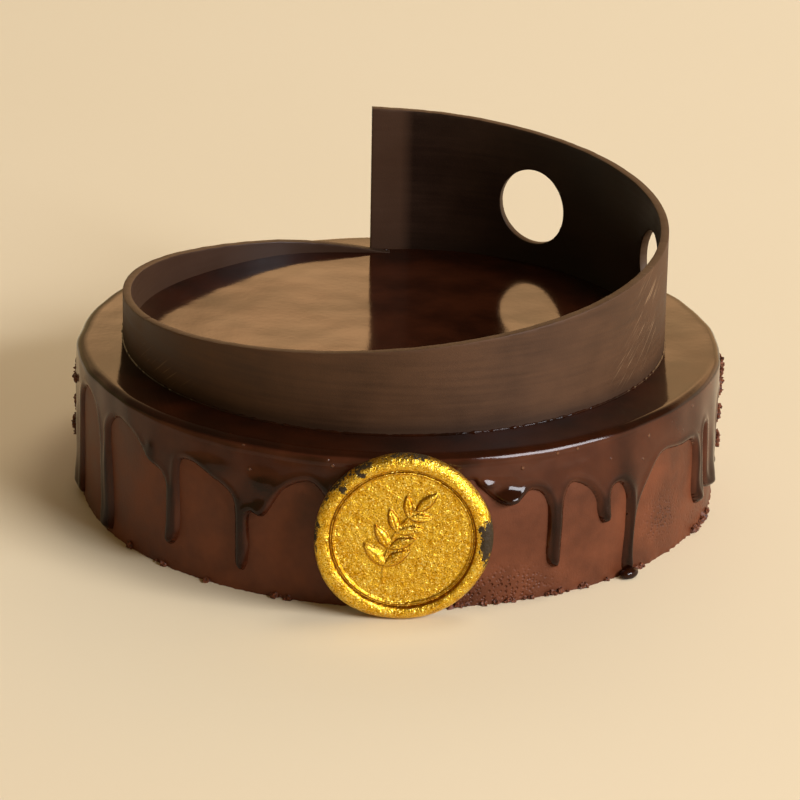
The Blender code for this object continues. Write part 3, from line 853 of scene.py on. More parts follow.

# %% [markdown]
# ## The chocolate collar
#
# Tempered chocolate spread on a strip of acetate, cut to a long taper, holed with a round
# cutter and curled while soft. The face that set against the acetate is turned inwards and is
# the glossier, darker one, and its dark tone is also painted shade for the inside of the ring.
# The free outer face is satin, and the cut edge is paler. It could be a curve with an extrude,
# but the sloping rim and the holes need the cut sheet again. It is bent to the collar's plan,
# gets its thickness from Solidify and its soft edges from a small Bevel.
# Solidify also hands the rim and the second face the next materials in the list.

# %% Plan and rim of the collar
COLLAR_CENTRE = Vector((-1.5 * MM, 6.0 * MM, 0.0))
COLLAR_START = 96.0            # degrees from +X to the tall end, and from there clockwise
COLLAR_TURN = 364.5            # the strip's whole turn
COLLAR_POINT = 369.0           # the turn at which its rim would meet the glaze
COLLAR_FLAT = 8.6              # the tall end didn't take the curl for this many degrees
COLLAR_RADIUS = 84.5 * MM
COLLAR_LENGTH = math.radians(COLLAR_TURN) * COLLAR_RADIUS
COLLAR_TALL = 49.0 * MM
COLLAR_BOW = 0.25              # how much the rim bows up between its two ends
COLLAR_LAST = 0.5 * MM         # the rim is shaved down by this much at the thin end


def collar_radius(turns):
    """A round turn that opens less at its tall end, bulges a little and tucks its end in."""
    opened = -1.3 * MM * (1.0 - smooth_step(0.0, 26.0, turns))
    bulge = 1.6 * MM * np.exp(-((turns - 298.0) / 18.0) ** 2)
    tucked = -4.8 * MM * smooth_step(336.0, 364.0, turns)
    return COLLAR_RADIUS + opened + bulge + tucked


def collar_rim(turns):
    """Height of the strip's upper edge, from tall to nothing in one turn."""
    share = turns / COLLAR_POINT
    return GLAZE_LEVEL + COLLAR_TALL * (1.0 - share) * (1.0 + COLLAR_BOW * share)


def rim_nicks(turns):
    """The knife's small slips along the rim, a chip here and there, and the thin last end."""
    nicks = []
    for degrees in turns:
        spot = Vector((degrees * 0.35, 4.2, 0.0))
        slip = 0.12 * MM * noise_field.noise(spot) + 0.05 * MM * noise_field.noise(spot * 9.0)
        chip = max(noise_field.noise(Vector((degrees * 1.7, 9.1, 3.3))) - 0.62, 0.0)
        nicks.append(slip - 2.6 * MM * chip)
    return np.array(nicks) - COLLAR_LAST * smooth_step(352.0, COLLAR_TURN, turns)


def bend_collar(flat):
    """Takes flat points (along the strip, height) to the collar's outer face."""
    turns = np.degrees(flat[:, 0] / COLLAR_RADIUS)

    def on_plan(turn_degrees):
        angle = np.radians(COLLAR_START - turn_degrees)
        return collar_radius(turn_degrees)[:, None] * np.stack((np.cos(angle), np.sin(angle)), -1)

    plan = on_plan(turns)
    ends = on_plan(np.array((0.0, COLLAR_FLAT)))
    share = (turns / COLLAR_FLAT)[:, None]
    straight = ends[0] * (1.0 - share) + ends[1] * share
    plan = np.where(share < 1.0, straight, plan)
    return np.column_stack((plan + np.array(COLLAR_CENTRE)[:2], flat[:, 1]))


print(f"strip {COLLAR_LENGTH / MM:.0f} mm long and {COLLAR_TALL / MM:.0f} mm tall at its tall end")

# %% Outline of the strip
HOLE_RADIUS = 12.5 * MM
HOLE_TURNS = (38.8, 85.5)
HOLE_LEVELS = (65.5 * MM, 64.0 * MM)


def collar_outline():
    """The sloping rim and the two holes, as fine lines of flat points."""
    turns = np.arange(-1.0, COLLAR_TURN + 1.0, 0.08)
    rim = collar_rim(turns) + rim_nicks(turns)
    line = list(zip(np.radians(turns) * COLLAR_RADIUS, rim))
    for turn_degrees, level_height in zip(HOLE_TURNS, HOLE_LEVELS):
        for degrees in np.arange(0.0, 360.0, 0.5):
            angle = math.radians(degrees)
            burr = noise_field.noise(Vector((math.cos(angle), math.sin(angle), 0.3)) * 9.0)
            radius = HOLE_RADIUS - 0.9 * MM * max(burr - 0.42, 0.0)
            line.append((math.radians(turn_degrees) * COLLAR_RADIUS + radius * math.cos(angle),
                         level_height + radius * math.sin(angle)))
    return line


def on_the_strip(spots):
    """Tells which flat points lie under the rim and outside both holes."""
    turns = np.degrees(spots[:, 0] / COLLAR_RADIUS)
    inside = spots[:, 1] < collar_rim(turns) + rim_nicks(turns)
    for turn_degrees, level_height in zip(HOLE_TURNS, HOLE_LEVELS):
        across = spots[:, 0] - math.radians(turn_degrees) * COLLAR_RADIUS
        inside &= np.hypot(across, spots[:, 1] - level_height) > HOLE_RADIUS
    return inside


print(f"{len(collar_outline())} points on the outline of the strip")

# %% Dark chocolate
FLAT_END = math.radians(COLLAR_FLAT) * COLLAR_RADIUS
GLAZE_REFLECTION_RISE = 6.5 * MM              # height over which a painted reflection of the dark glaze darkens the strip towards its foot
SCRATCH_SLANT = math.radians(-36.0)
SCRAPES = (                    # turn and height, reach in degrees and in mm, and how much
    (119.0, 67.0, 5.5, 11.0, 0.9),
    (130.0, 56.0, 3.0, 5.0, 0.6),
    (243.0, 52.0, 7.0, 3.0, 0.5),
)


def scraped_share(flat):
    """Where the outer face was scratched when the collar was set down."""
    turns = np.degrees(flat[:, 0] / COLLAR_RADIUS)
    heights = flat[:, 1] / MM
    scraped = np.zeros(len(flat))
    for turn_degrees, height, reach, tall, amount in SCRAPES:
        away = ((turns - turn_degrees) / reach) ** 2 + ((heights - height) / tall) ** 2
        scraped = np.maximum(scraped, amount * np.exp(-away))
    return scraped


def scratches(material, strip):
    """Fine pale lines, all on one slant, where the outer face was scraped."""
    # Real scratches are about 0.1 mm wide, and are drawn at 0.6 mm so that they show.
    slanted = add_node(material, "ShaderNodeMapping", {"vector_type": "TEXTURE"}, {
        "Vector": strip, "Rotation": (0.0, 0.0, SCRATCH_SLANT), "Scale": (30.0, 1.0, 1.0)}).outputs[0]
    hair = add_node(material, "ShaderNodeTexNoise", inputs={
        "Vector": slanted, "Scale": cells(0.6), "Detail": 1.5}).outputs["Fac"]
    line = add_node(material, "ShaderNodeMapRange", inputs={
        "Value": hair, "From Min": 0.60, "From Max": 0.67}).outputs[0]
    scraped = add_node(material, "ShaderNodeAttribute", {"attribute_name": "scraped"}).outputs["Fac"]
    return add_node(material, "ShaderNodeMath", {"operation": "MULTIPLY"}, {
        0: line, 1: scraped}).outputs[0]


def end_light_and_bloom(material, along, bloom_and_light):
    """Paler at both ends of the strip: painted light on the flat stretch, which shows lighter than the
    curl beside it, and a faint whitening of fat at the thin end.
    """
    flat_end_light = add_node(material, "ShaderNodeMapRange", inputs={
        "Value": along, "From Min": FLAT_END + 1.5 * MM, "From Max": FLAT_END - 3.0 * MM,
        "To Max": bloom_and_light}).outputs[0]
    thin_end = add_node(material, "ShaderNodeMapRange", inputs={
        "Value": along, "From Min": 0.45 * COLLAR_LENGTH, "From Max": 0.70 * COLLAR_LENGTH,
        "To Max": 0.65 * bloom_and_light}).outputs[0]
    return add_node(material, "ShaderNodeMath", {"operation": "MAXIMUM"}, {
        0: flat_end_light, 1: thin_end}).outputs[0]


def make_chocolate(name, tone_low, tone_high, gloss_low, gloss_high, bloom_and_light):
    """Tempered dark chocolate, streaked along the strip. The strip's coordinates are its UV map."""
    material, place = new_material(name)
    strip = add_node(material, "ShaderNodeUVMap", {"uv_map": "strip"}).outputs[0]
    spot = add_node(material, "ShaderNodeSeparateXYZ", inputs={"Vector": strip})
    cloud = add_node(material, "ShaderNodeTexNoise", inputs={
        "Vector": place, "Scale": cells(22.0), "Detail": 3.0, "Roughness": 0.55}).outputs["Fac"]
    along = add_node(material, "ShaderNodeMapping", inputs={
        "Vector": strip, "Scale": (0.05, 1.0, 1.0)}).outputs[0]
    streak = add_node(material, "ShaderNodeTexNoise", inputs={
        "Vector": along, "Scale": cells(1.4), "Detail": 3.0}).outputs["Fac"]
    marks = add_node(material, "ShaderNodeMix", inputs={0: 0.35, 2: cloud, 3: streak}).outputs[0]
    share = add_node(material, "ShaderNodeMapRange", inputs={
        "Value": marks, "From Min": 0.38, "From Max": 0.62}).outputs[0]
    tone = add_node(material, "ShaderNodeMix", {"data_type": "RGBA"}, {
        0: share, 6: colour(tone_low), 7: colour(tone_high)}).outputs[2]
    tone = add_node(material, "ShaderNodeMix", {"data_type": "RGBA"}, {
        0: scratches(material, strip), 6: tone, 7: colour("#a88a68")}).outputs[2]
    # Painted reflection: the strip is painted darker towards its foot, where its satin face mirrors the
    # dark glaze.
    glaze_reflection = add_node(material, "ShaderNodeMapRange", inputs={
        "Value": spot.outputs["Y"], "From Min": GLAZE_LEVEL + GLAZE_REFLECTION_RISE, "From Max": GLAZE_LEVEL,
        "To Max": 0.65}).outputs[0]
    tone = add_node(material, "ShaderNodeMix", {"data_type": "RGBA"}, {
        0: glaze_reflection, 6: tone, 7: colour("#1a0e07")}).outputs[2]
    # Painted light on the flat stretch at the tall end, and fat bloom at the thin end, both mixed in as
    # a paler tone.
    tone = add_node(material, "ShaderNodeMix", {"data_type": "RGBA"}, {
        0: end_light_and_bloom(material, spot.outputs["X"], bloom_and_light), 6: tone, 7: colour("#553b2b")}).outputs[2]
    # The grain of the set fat is far finer than 0.5 mm, and is drawn as coarse as the eye can tell.
    grain = add_node(material, "ShaderNodeTexNoise", inputs={
        "Vector": place, "Scale": cells(0.5), "Detail": 3.0, "Roughness": 0.6}).outputs["Fac"]
    rough = add_node(material, "ShaderNodeBump", inputs={
        "Height": grain, "Strength": 0.3, "Distance": 0.12 * MM}).outputs[0]
    gloss = add_node(material, "ShaderNodeMapRange", inputs={
        "Value": marks, "From Min": 0.38, "From Max": 0.62,
        "To Min": gloss_low, "To Max": gloss_high}).outputs[0]
    chocolate = add_node(material, "ShaderNodeBsdfPrincipled", inputs={
        "Base Color": tone, "Roughness": gloss, "IOR": 1.5, "Specular IOR Level": 0.30,
        "Normal": rough})
    add_node(material, "ShaderNodeOutputMaterial", inputs={"Surface": chocolate.outputs[0]})
    return material


# The face pressed on the acetate is the darkest and glossiest, and its dark tone is also painted
# shade for the inside of the ring. The free face is satin, and the knife leaves a paler, rougher edge.
# Its last argument sets the paler ends: painted light on the flat stretch and fat bloom at the thin end.
pressed = make_chocolate("pressed_chocolate_painted_shade", "#1c0f09", "#27160c", 0.34, 0.46, 0.48)
cut_edge = make_chocolate("cut_chocolate_edge", "#3c2818", "#4e3824", 0.5, 0.6, 0.0)
satin = make_chocolate("satin_dark_chocolate", "#3b2413", "#4d321d", 0.52, 0.66, 0.0)
print(f"{satin.name}: {len(satin.node_tree.nodes)} nodes, and two more of its kind")

# %% The curled collar
COLLAR_THICKNESS = 2.6 * MM
COLLAR_STEP = 0.8 * MM
COLLAR_SINK = 0.3 * MM         # the foot stands this deep in the glaze
CUT_SLOT, OUTER_SLOT = 1, 2    # places of the cut edge and the outer face among the materials


def make_collar():
    """The cut strip, bent to its plan, made thick inwards and softened at its edges."""
    across = np.linspace(0.0, COLLAR_LENGTH, round(COLLAR_LENGTH / COLLAR_STEP) + 1)
    foot = GLAZE_LEVEL - COLLAR_SINK
    tallest = GLAZE_LEVEL + COLLAR_TALL + 1.0 * MM
    rows = np.linspace(foot, tallest, round((tallest - foot) / COLLAR_STEP) + 1)
    flat, _, faces = cut_sheet(across, rows, collar_outline(), on_the_strip)
    mesh = bpy.data.meshes.new("chocolate_collar")
    mesh.from_pydata([tuple(point) for point in bend_collar(flat)], [], faces)
    mesh.shade_smooth()
    scraped = mesh.attributes.new("scraped", "FLOAT", "POINT")
    scraped.data.foreach_set("value", scraped_share(flat).astype(np.float32))
    strip = mesh.uv_layers.new(name="strip")
    corners = np.empty(len(mesh.loops), dtype=np.int32)
    mesh.loops.foreach_get("vertex_index", corners)
    strip.data.foreach_set("uv", flat[corners].reshape(-1).astype(np.float32))
    shape = bmesh.new()
    shape.from_mesh(mesh)
    loose = [vertex for vertex in shape.verts if not vertex.link_faces]
    bmesh.ops.delete(shape, geom=loose, context="VERTS")
    shape.to_mesh(mesh)
    shape.free()
    for chocolate in (pressed, cut_edge, satin):
        mesh.materials.append(chocolate)
    collar = add_piece("chocolate_collar", mesh, "chocolate", "collar")
    body = collar.modifiers.new("thickness", "SOLIDIFY")
    body.thickness = COLLAR_THICKNESS
    body.offset = 1.0
    body.material_offset_rim = CUT_SLOT
    body.material_offset = OUTER_SLOT
    soft = collar.modifiers.new("soft_edges", "BEVEL")
    soft.width = 0.22 * MM
    soft.segments = 2
    soft.limit_method = "ANGLE"
    soft.angle_limit = math.radians(50.0)
    soft.use_clamp_overlap = False
    print(f"collar: {len(mesh.polygons)} faces before its thickness")
    return collar


make_collar()

# %% [markdown]
# ## The medallion
#
# Chocolate cast in a mould that copies a wax seal, then brushed with gold lustre dust. The dust
# is a metal powder: it shines like satin gold, sparkles in the grainy centre, and rubs off the
# high rim so that the dark chocolate shows. The disc is a set of rings whose height follows the
# seal's section: a flat floor, a fine bead, and the thick lip of squeezed wax. The sprig of
# leaves is a height added to the floor.

# %% Sprig relief
STEM_LENGTH = 25.0 * MM
STEM_BOW = 3.0 * MM
STEM_RADIUS = 0.5 * MM
STEM_TILT = -24.0              # degrees from upright
STEM_MIDDLE = 0.55             # the share of the stem that lies in the middle of the disc
STEM_DROP = 1.0 * MM
STEM_DOTS = 60                 # places where the stem's round back is worked out
LEAF_PAIRS = 4
LEAF_LENGTH, LEAF_WIDTH, LEAF_RISE = 9.0 * MM, 3.8 * MM, 1.25 * MM
LEAF_SPREAD = 50.0             # degrees from the stem
FIRST_LEAF, LAST_LEAF, TOP_LEAF = 0.2, 0.86, 0.97      # where along the stem the leaves sit


def stem_point(share):
    """A point of the bowed stem, from its foot (0) to its top (1)."""
    along = (share - STEM_MIDDLE) * STEM_LENGTH
    bow = STEM_BOW * (1.0 - (2.0 * share - 1.0) ** 2)
    flat = Matrix.Rotation(math.radians(STEM_TILT), 2) @ Vector((-bow, along))
    return flat + Vector((0.0, -STEM_DROP))


def stem_heading(share):
    """The way the stem points at a share of its length."""
    ahead = stem_point(share + 0.02) - stem_point(share - 0.02)
    return math.atan2(ahead.y, ahead.x)


def leaf_relief(x, y, place, heading, size):
    """Height of one leaf: a pointed mound with a fine vein pressed down its middle."""
    along = ((x - place.x) * math.cos(heading) + (y - place.y) * math.sin(heading)) / size
    across = -(x - place.x) * math.sin(heading) + (y - place.y) * math.cos(heading)
    share = np.clip(along / LEAF_LENGTH, 0.0, 1.0)
    half = 0.5 * LEAF_WIDTH * size * np.sin(math.pi * share ** 0.85) ** 0.8 + 1e-6
    mound = np.sqrt(np.clip(1.0 - (across / half) ** 2, 0.0, 1.0))
    vein = 0.3 * np.exp(-(across / (0.22 * MM)) ** 2)
    inside = (along > 0.0) & (along < LEAF_LENGTH) & (np.abs(across) < half)
    return np.where(inside, LEAF_RISE * mound * (1.0 - vein), 0.0)


def sprig_relief(x, y):
    """Height of the whole sprig: the stem, its pairs of leaves and one leaf at the top."""
    relief = np.zeros_like(x)
    for share in np.linspace(0.0, 1.0, STEM_DOTS):
        spot = stem_point(share)
        away = np.hypot(x - spot.x, y - spot.y)
        relief = np.maximum(relief, np.sqrt(np.clip(STEM_RADIUS ** 2 - away ** 2, 0.0, None)))
    for pair in range(LEAF_PAIRS):
        share = FIRST_LEAF + (LAST_LEAF - FIRST_LEAF) * pair / (LEAF_PAIRS - 1)
        for side in (-1.0, 1.0):
            heading = stem_heading(share) + side * math.radians(LEAF_SPREAD)
            size = 1.0 - 0.08 * pair
            relief = np.maximum(relief, leaf_relief(x, y, stem_point(share), heading, size))
    top = leaf_relief(x, y, stem_point(TOP_LEAF), stem_heading(TOP_LEAF), 0.9)
    return np.maximum(relief, top)


stem_reach = (stem_point(1.0) - stem_point(0.0)).length
print(f"sprig {stem_reach / MM:.0f} mm long with {2 * LEAF_PAIRS + 1} leaves")

# %% Gold dust material
def make_gold_material():
    """Metal powder brushed on cast chocolate: satin gold that glitters, and bare where rubbed."""
    material, place = new_material("gold_dust_on_chocolate")
    blotch = add_node(material, "ShaderNodeTexNoise", inputs={
        "Vector": place, "Scale": cells(3.2), "Detail": 3.0, "Roughness": 0.6}).outputs["Fac"]
    # Lustre dust is about 0.05 mm fine. Its glitter is drawn at 0.45 mm, as clumps of dust.
    flake = add_node(material, "ShaderNodeTexNoise", inputs={
        "Vector": place, "Scale": cells(0.45), "Detail": 2.0, "Roughness": 0.7}).outputs["Fac"]
    thin = add_node(material, "ShaderNodeMapRange", inputs={
        "Value": blotch, "From Min": 0.35, "From Max": 0.65}).outputs[0]
    gold = add_node(material, "ShaderNodeMix", {"data_type": "RGBA"}, {
        0: thin, 6: colour("#dda51a"), 7: colour("#f5c93e")}).outputs[2]
    # Painted glints: the highest flakes are turned pale yellow, as sparkle, and the lowest are darker.
    painted_glints = add_node(material, "ShaderNodeMapRange", inputs={
        "Value": flake, "From Min": 0.55, "From Max": 0.68}).outputs[0]
    gold = add_node(material, "ShaderNodeMix", {"data_type": "RGBA"}, {
        0: painted_glints, 6: gold, 7: colour("#fff294")}).outputs[2]
    dull = add_node(material, "ShaderNodeMapRange", inputs={
        "Value": flake, "From Min": 0.45, "From Max": 0.33}).outputs[0]
    gold = add_node(material, "ShaderNodeMix", {"data_type": "RGBA"}, {
        0: dull, 6: gold, 7: colour("#8a5f12")}).outputs[2]
    # Painted shade: the sides of the sprig and the fine bead are darkened, as the shadows of the relief.
    relief_shade = add_node(material, "ShaderNodeAttribute", {"attribute_name": "relief_shade"}).outputs["Fac"]
    gold = add_node(material, "ShaderNodeMix", {"data_type": "RGBA"}, {
        0: relief_shade, 6: gold, 7: colour("#8a5a10")}).outputs[2]
    worn = add_node(material, "ShaderNodeAttribute", {"attribute_name": "worn"}).outputs["Fac"]
    scuff = add_node(material, "ShaderNodeTexNoise", inputs={
        "Vector": place, "Scale": cells(0.8), "Detail": 4.0, "Roughness": 0.8}).outputs["Fac"]
    torn = add_node(material, "ShaderNodeMapRange", inputs={
        "Value": blotch, "From Min": 0.3, "From Max": 0.7, "To Min": -0.28, "To Max": 0.28}).outputs[0]
    edge = worn
    for share in (scuff, torn):
        edge = add_node(material, "ShaderNodeMath", {"operation": "ADD"}, {
            0: edge, 1: share}).outputs[0]
    bare = add_node(material, "ShaderNodeMapRange", inputs={
        "Value": edge, "From Min": 0.94, "From Max": 1.08}).outputs[0]
    dimples = add_node(material, "ShaderNodeTexNoise", inputs={
        "Vector": place, "Scale": cells(1.7), "Detail": 2.0}).outputs["Fac"]
    uneven = add_node(material, "ShaderNodeBump", inputs={
        "Height": dimples, "Strength": 1.0, "Distance": 0.6 * MM}).outputs[0]
    bump = add_node(material, "ShaderNodeBump", inputs={
        "Height": flake, "Strength": 0.9, "Distance": 0.24 * MM, "Normal": uneven}).outputs[0]
    # The dust is a metal and keeps the default IOR. The bare chocolate is dull, cast in silicone.
    dust = add_node(material, "ShaderNodeBsdfPrincipled", inputs={
        "Base Color": gold, "Metallic": 1.0, "Roughness": 0.33, "Normal": bump})
    cast = add_node(material, "ShaderNodeBsdfPrincipled", inputs={
        "Base Color": colour("#2e210d"), "Roughness": 0.6, "IOR": 1.5, "Specular IOR Level": 0.3,
        "Normal": bump})
    both = add_node(material, "ShaderNodeMixShader", inputs={
        0: bare, 1: dust.outputs[0], 2: cast.outputs[0]})
    add_node(material, "ShaderNodeOutputMaterial", inputs={"Surface": both.outputs[0]})
    return material


gold_dust = make_gold_material()
print(f"{gold_dust.name}: {len(gold_dust.node_tree.nodes)} nodes")

# %% Section of the disc
SEAL_FLOOR = 4.3 * MM          # thickness of the disc under the sprig
SPRIG_END = 18.6 * MM
FACE_END = 21.5 * MM
FACE_RINGS = 62, 22            # fine rings under the sprig, and from there to the lip
RING_PLACE, RING_HALF, RING_RISE = 20.35 * MM, 0.34 * MM, 0.60 * MM
LIP_FOOT, LIP_RISE = 20.95 * MM, 1.05 * MM
LIP_CENTRE = (23.0 * MM, 3.0 * MM)
LIP_REACH = (2.9 * MM, 3.0 * MM)
LIP_SWEEP = 118.0, -90.0       # degrees over the lip, from its inner foot to the disc's back


def seal_section():
    """Radius and height of the seal's rings, from the middle of the face round to its back."""
    radii = np.concatenate((np.linspace(0.2 * MM, SPRIG_END, FACE_RINGS[0]),
                            np.linspace(SPRIG_END + 0.2 * MM, FACE_END, FACE_RINGS[1])))
    heights = np.full_like(radii, SEAL_FLOOR)
    heights += RING_RISE * np.exp(-((radii - RING_PLACE) / RING_HALF) ** 2)
    heights += LIP_RISE * smooth_step(LIP_FOOT, FACE_END, radii)
    sweep = np.radians(np.linspace(*LIP_SWEEP, 30))
    lip_radii = LIP_CENTRE[0] + LIP_REACH[0] * np.cos(sweep)
    lip_heights = LIP_CENTRE[1] + LIP_REACH[1] * np.sin(sweep)
    back_radii = np.array((15.0, 7.0)) * MM
    return (np.concatenate((radii, lip_radii, back_radii)),
            np.concatenate((heights, lip_heights, np.zeros(2))))


print(f"{len(seal_section()[0])} rings across the disc")

# %% The cast disc
SEAL_SPOKES = 320
SEAL_RADIUS = 25.9 * MM
SEAL_LEAN = 2.0                # degrees from upright
SEAL_ANGLE = -88.8             # degrees from +X to where it leans on the cake
SEAL_CLEAR = 102.4 * MM        # from the cake's axis to the middle of its back
SEAL_WAVES = ((2, 0.35, 0.6), (3, 0.30, 2.4), (5, 0.16, 0.9))      # lobes, mm and phase
LIP_UNEVEN = 0.12 * MM
RUBBED_UPPER_LEFT = 128.0, 34.0                # middle and reach in degrees round the lip
RUBBED_TOP = 85.0, 22.0
WORN_SPOTS = (                 # place and reach to the right and up, in mm, and how worn
    (25.4, -0.4, 3.2, 7.4, 1.05),
    (23.0, 3.6, 1.8, 1.8, 0.84),
    (-12.2, 20.0, 1.8, 1.0, 0.72),
    (-25.8, 1.0, 1.8, 5.6, 0.78),
    (-17.5, 16.5, 4.4, 4.0, 0.5),
)


def lobed(angle):
    """Squeezed wax is never quite round, so the lip swells and shrinks in a few slow waves."""
    return sum(size * MM * np.sin(lobes * angle + phase) for lobes, size, phase in SEAL_WAVES)


def worn_share(x, y, height):
    """How far the gold is rubbed off: at the top and upper left of the lip, and in a few spots."""
    radius = np.hypot(x, y)
    angle = np.degrees(np.arctan2(y, x))
    outer = smooth_step(23.2 * MM, 25.6 * MM, radius)
    upper_left = 0.72 * np.exp(-((angle - RUBBED_UPPER_LEFT[0]) / RUBBED_UPPER_LEFT[1]) ** 2)
    top_edge = 0.576 * np.exp(-((angle - RUBBED_TOP[0]) / RUBBED_TOP[1]) ** 2)
    worn = outer * np.maximum(upper_left, top_edge)
    for spot_x, spot_y, size_x, size_y, amount in WORN_SPOTS:
        away = ((x / MM - spot_x) / size_x) ** 2 + ((y / MM - spot_y) / size_y) ** 2
        worn = np.maximum(worn, amount * np.exp(-away))
    return np.maximum(worn, 0.8 * smooth_step(2.2 * MM, 0.4 * MM, height) * outer)


def make_seal():
    """The disc as rings and spokes, then stood up and leant against the front of the cake."""
    radii, heights = seal_section()
    spokes = np.arange(SEAL_SPOKES) * 2.0 * math.pi / SEAL_SPOKES
    angle, radius = np.meshgrid(spokes, radii)
    share = np.clip((radius - FACE_END) / (SEAL_RADIUS - FACE_END), 0.0, 1.0)
    radius = radius + lobed(angle) * share
    x, y = radius * np.cos(angle), radius * np.sin(angle)
    z = np.repeat(heights[:, None], SEAL_SPOKES, axis=1)
    on_face = (np.arange(len(radii)) < sum(FACE_RINGS))[:, None]
    z = z + np.where(on_face, sprig_relief(x, y), 0.0)
    z = z + LIP_UNEVEN * ripple(angle, radius, seed=5, low=2, high=9, tall=0.02) * share
    points = np.stack((x, y, z), axis=-1).reshape(-1, 3)
    faces = []
    for ring in range(len(radii) - 1):
        for spoke in range(SEAL_SPOKES):
            other = (spoke + 1) % SEAL_SPOKES
            low, high = ring * SEAL_SPOKES, (ring + 1) * SEAL_SPOKES
            faces.append([low + spoke, high + spoke, high + other, low + other])
    faces.append(list(range(SEAL_SPOKES)))
    faces.append([(len(radii) - 1) * SEAL_SPOKES + spoke for spoke in range(SEAL_SPOKES)][::-1])
    mesh = tidy_mesh("gold_medallion", points, faces)
    worn = mesh.attributes.new("worn", "FLOAT", "POINT")
    worn.data.foreach_set("value", worn_share(x, y, z).reshape(-1).astype(np.float32))
    outward_slope = np.gradient(z, axis=0) / np.gradient(radius, axis=0)
    two_spokes = 4.0 * math.pi * radius / SEAL_SPOKES
    round_slope = (np.roll(z, -1, axis=1) - np.roll(z, 1, axis=1)) / two_spokes
    slope = np.hypot(outward_slope, round_slope)
    # Painted shade for the relief, wherever the face slopes sharply.
    relief_shade = mesh.attributes.new("relief_shade", "FLOAT", "POINT")
    steep_shade = np.where(on_face, smooth_step(0.7, 2.0, slope), 0.0)
    relief_shade.data.foreach_set("value", steep_shade.reshape(-1).astype(np.float32))
    mesh.materials.append(gold_dust)
    turned = Matrix.Rotation(math.radians(SEAL_ANGLE + 90.0), 4, "Z")
    upright = Matrix.Rotation(math.radians(90.0 - SEAL_LEAN), 4, "X")
    mesh.transform(turned @ upright)
    lowest = min(vertex.co.z for vertex in mesh.vertices)
    clear = SEAL_CLEAR - math.sin(math.radians(SEAL_LEAN)) * SEAL_RADIUS
    angle = math.radians(SEAL_ANGLE)
    mesh.transform(Matrix.Translation((clear * math.cos(angle), clear * math.sin(angle), -lowest)))
    print(f"seal: {len(mesh.polygons)} faces")
    return add_piece("gold_medallion", mesh, "gold_dust", "seal")


make_seal()

# %% [markdown]
# ## Beads of glaze
#
# The collar was set in glaze that was still soft, so a thin bead of glaze rose along its foot,
# and it catches the light. One drip ran down to the base and left a fat drop there. The bead
# could be a curve with a round bevel, but its thickness changes all the way, so it is made of
# rings of points that follow the collar's plan. The drop is a ball, squashed and cut off flat.

# %% Beads of glaze
BEAD_STEP = 0.5                # degrees between two sections of the foot bead
BEAD_RADIUS = 0.38 * MM
BEAD_SIDES = (-30.0, 15.0, 50.0, 90.0, 130.0, 165.0, 210.0)
DROP_ANGLE = math.radians(-46.2)
DROP_PLACE = 101.6 * MM        # from the cake's axis
DROP_SIZE = Vector((2.0 * MM, 3.3 * MM, 1.75 * MM))
DROP_CUT = 0.75                # share of its half height that is left below its middle


def foot_bead():
    """Rings of points for a bead along the collar's foot, on its outer face."""
    turns = np.arange(0.0, COLLAR_TURN, BEAD_STEP)
    along = np.radians(turns) * COLLAR_RADIUS
    foot = bend_collar(np.column_stack((along, np.full_like(along, GLAZE_LEVEL))))
    ahead = np.gradient(foot[:, :2], axis=0)
    ahead /= np.linalg.norm(ahead, axis=1)[:, None]
    outward = np.column_stack((-ahead[:, 1], ahead[:, 0]))
    size = np.array([BEAD_RADIUS * (1.0 + 1.1 * noise_field.noise(Vector((turn, 0.0, 0.0)) * 0.7))
                     for turn in turns])
    rings = []
    for bend in np.radians(BEAD_SIDES):
        spot = foot[:, :2] + outward * (size * math.cos(bend))[:, None]
        level_height = top_height(spot[:, 0], spot[:, 1]) + size * math.sin(bend)
        rings.append(np.column_stack((spot, level_height)))
    return np.stack(rings, axis=1)


def make_beads():
    """The bead along the collar's foot and the drop at the end of the longest drip."""
    shape = bmesh.new()
    corners = [[shape.verts.new(point) for point in ring] for ring in foot_bead()]
    for ring, other in zip(corners, corners[1:]):
        for index in range(len(ring) - 1):
            shape.faces.new((ring[index], other[index], other[index + 1], ring[index + 1]))
        shape.faces.new((ring[-1], other[-1], other[0], ring[0]))
    shape.faces.new(corners[0])
    shape.faces.new(corners[-1][::-1])
    drop = bmesh.ops.create_icosphere(shape, subdivisions=4, radius=1.0)["verts"]
    turn_drop = Matrix.Rotation(DROP_ANGLE, 4, "Z") @ Matrix.Translation((DROP_PLACE, 0.0, 0.0))
    for vertex in drop:
        sagged = Vector(vertex.co)
        sagged.z = max(sagged.z, -DROP_CUT)
        sized = Vector((sagged.x * DROP_SIZE.x, sagged.y * DROP_SIZE.y, sagged.z * DROP_SIZE.z))
        vertex.co = turn_drop @ (sized + Vector((0.0, 0.0, DROP_CUT * DROP_SIZE.z)))
    bmesh.ops.recalc_face_normals(shape, faces=shape.faces)
    mesh = bpy.data.meshes.new("glaze_beads")
    shape.to_mesh(mesh)
    shape.free()
    mesh.shade_smooth()
    pooled_and_shade = mesh.attributes.new("pooled_and_shade", "FLOAT", "POINT")
    pooled_and_shade.data.foreach_set("value", np.ones(len(mesh.vertices), dtype=np.float32))
    mesh.materials.append(mirror_glaze)
    print(f"beads: {len(mesh.polygons)} faces")
    return add_piece("glaze_beads", mesh, "glaze")


make_beads()

# %% [markdown]
# ## Crumbs
#
# A knife run round the foot leaves torn bits of frosting on the board, and lifting the cake by
# its sides leaves rough patches there. A particle system could scatter them, but then they
# would not be part of the model. So each crumb is a small ball pushed about by noise, and they
# come in clumps that are drawn at random from a seed.

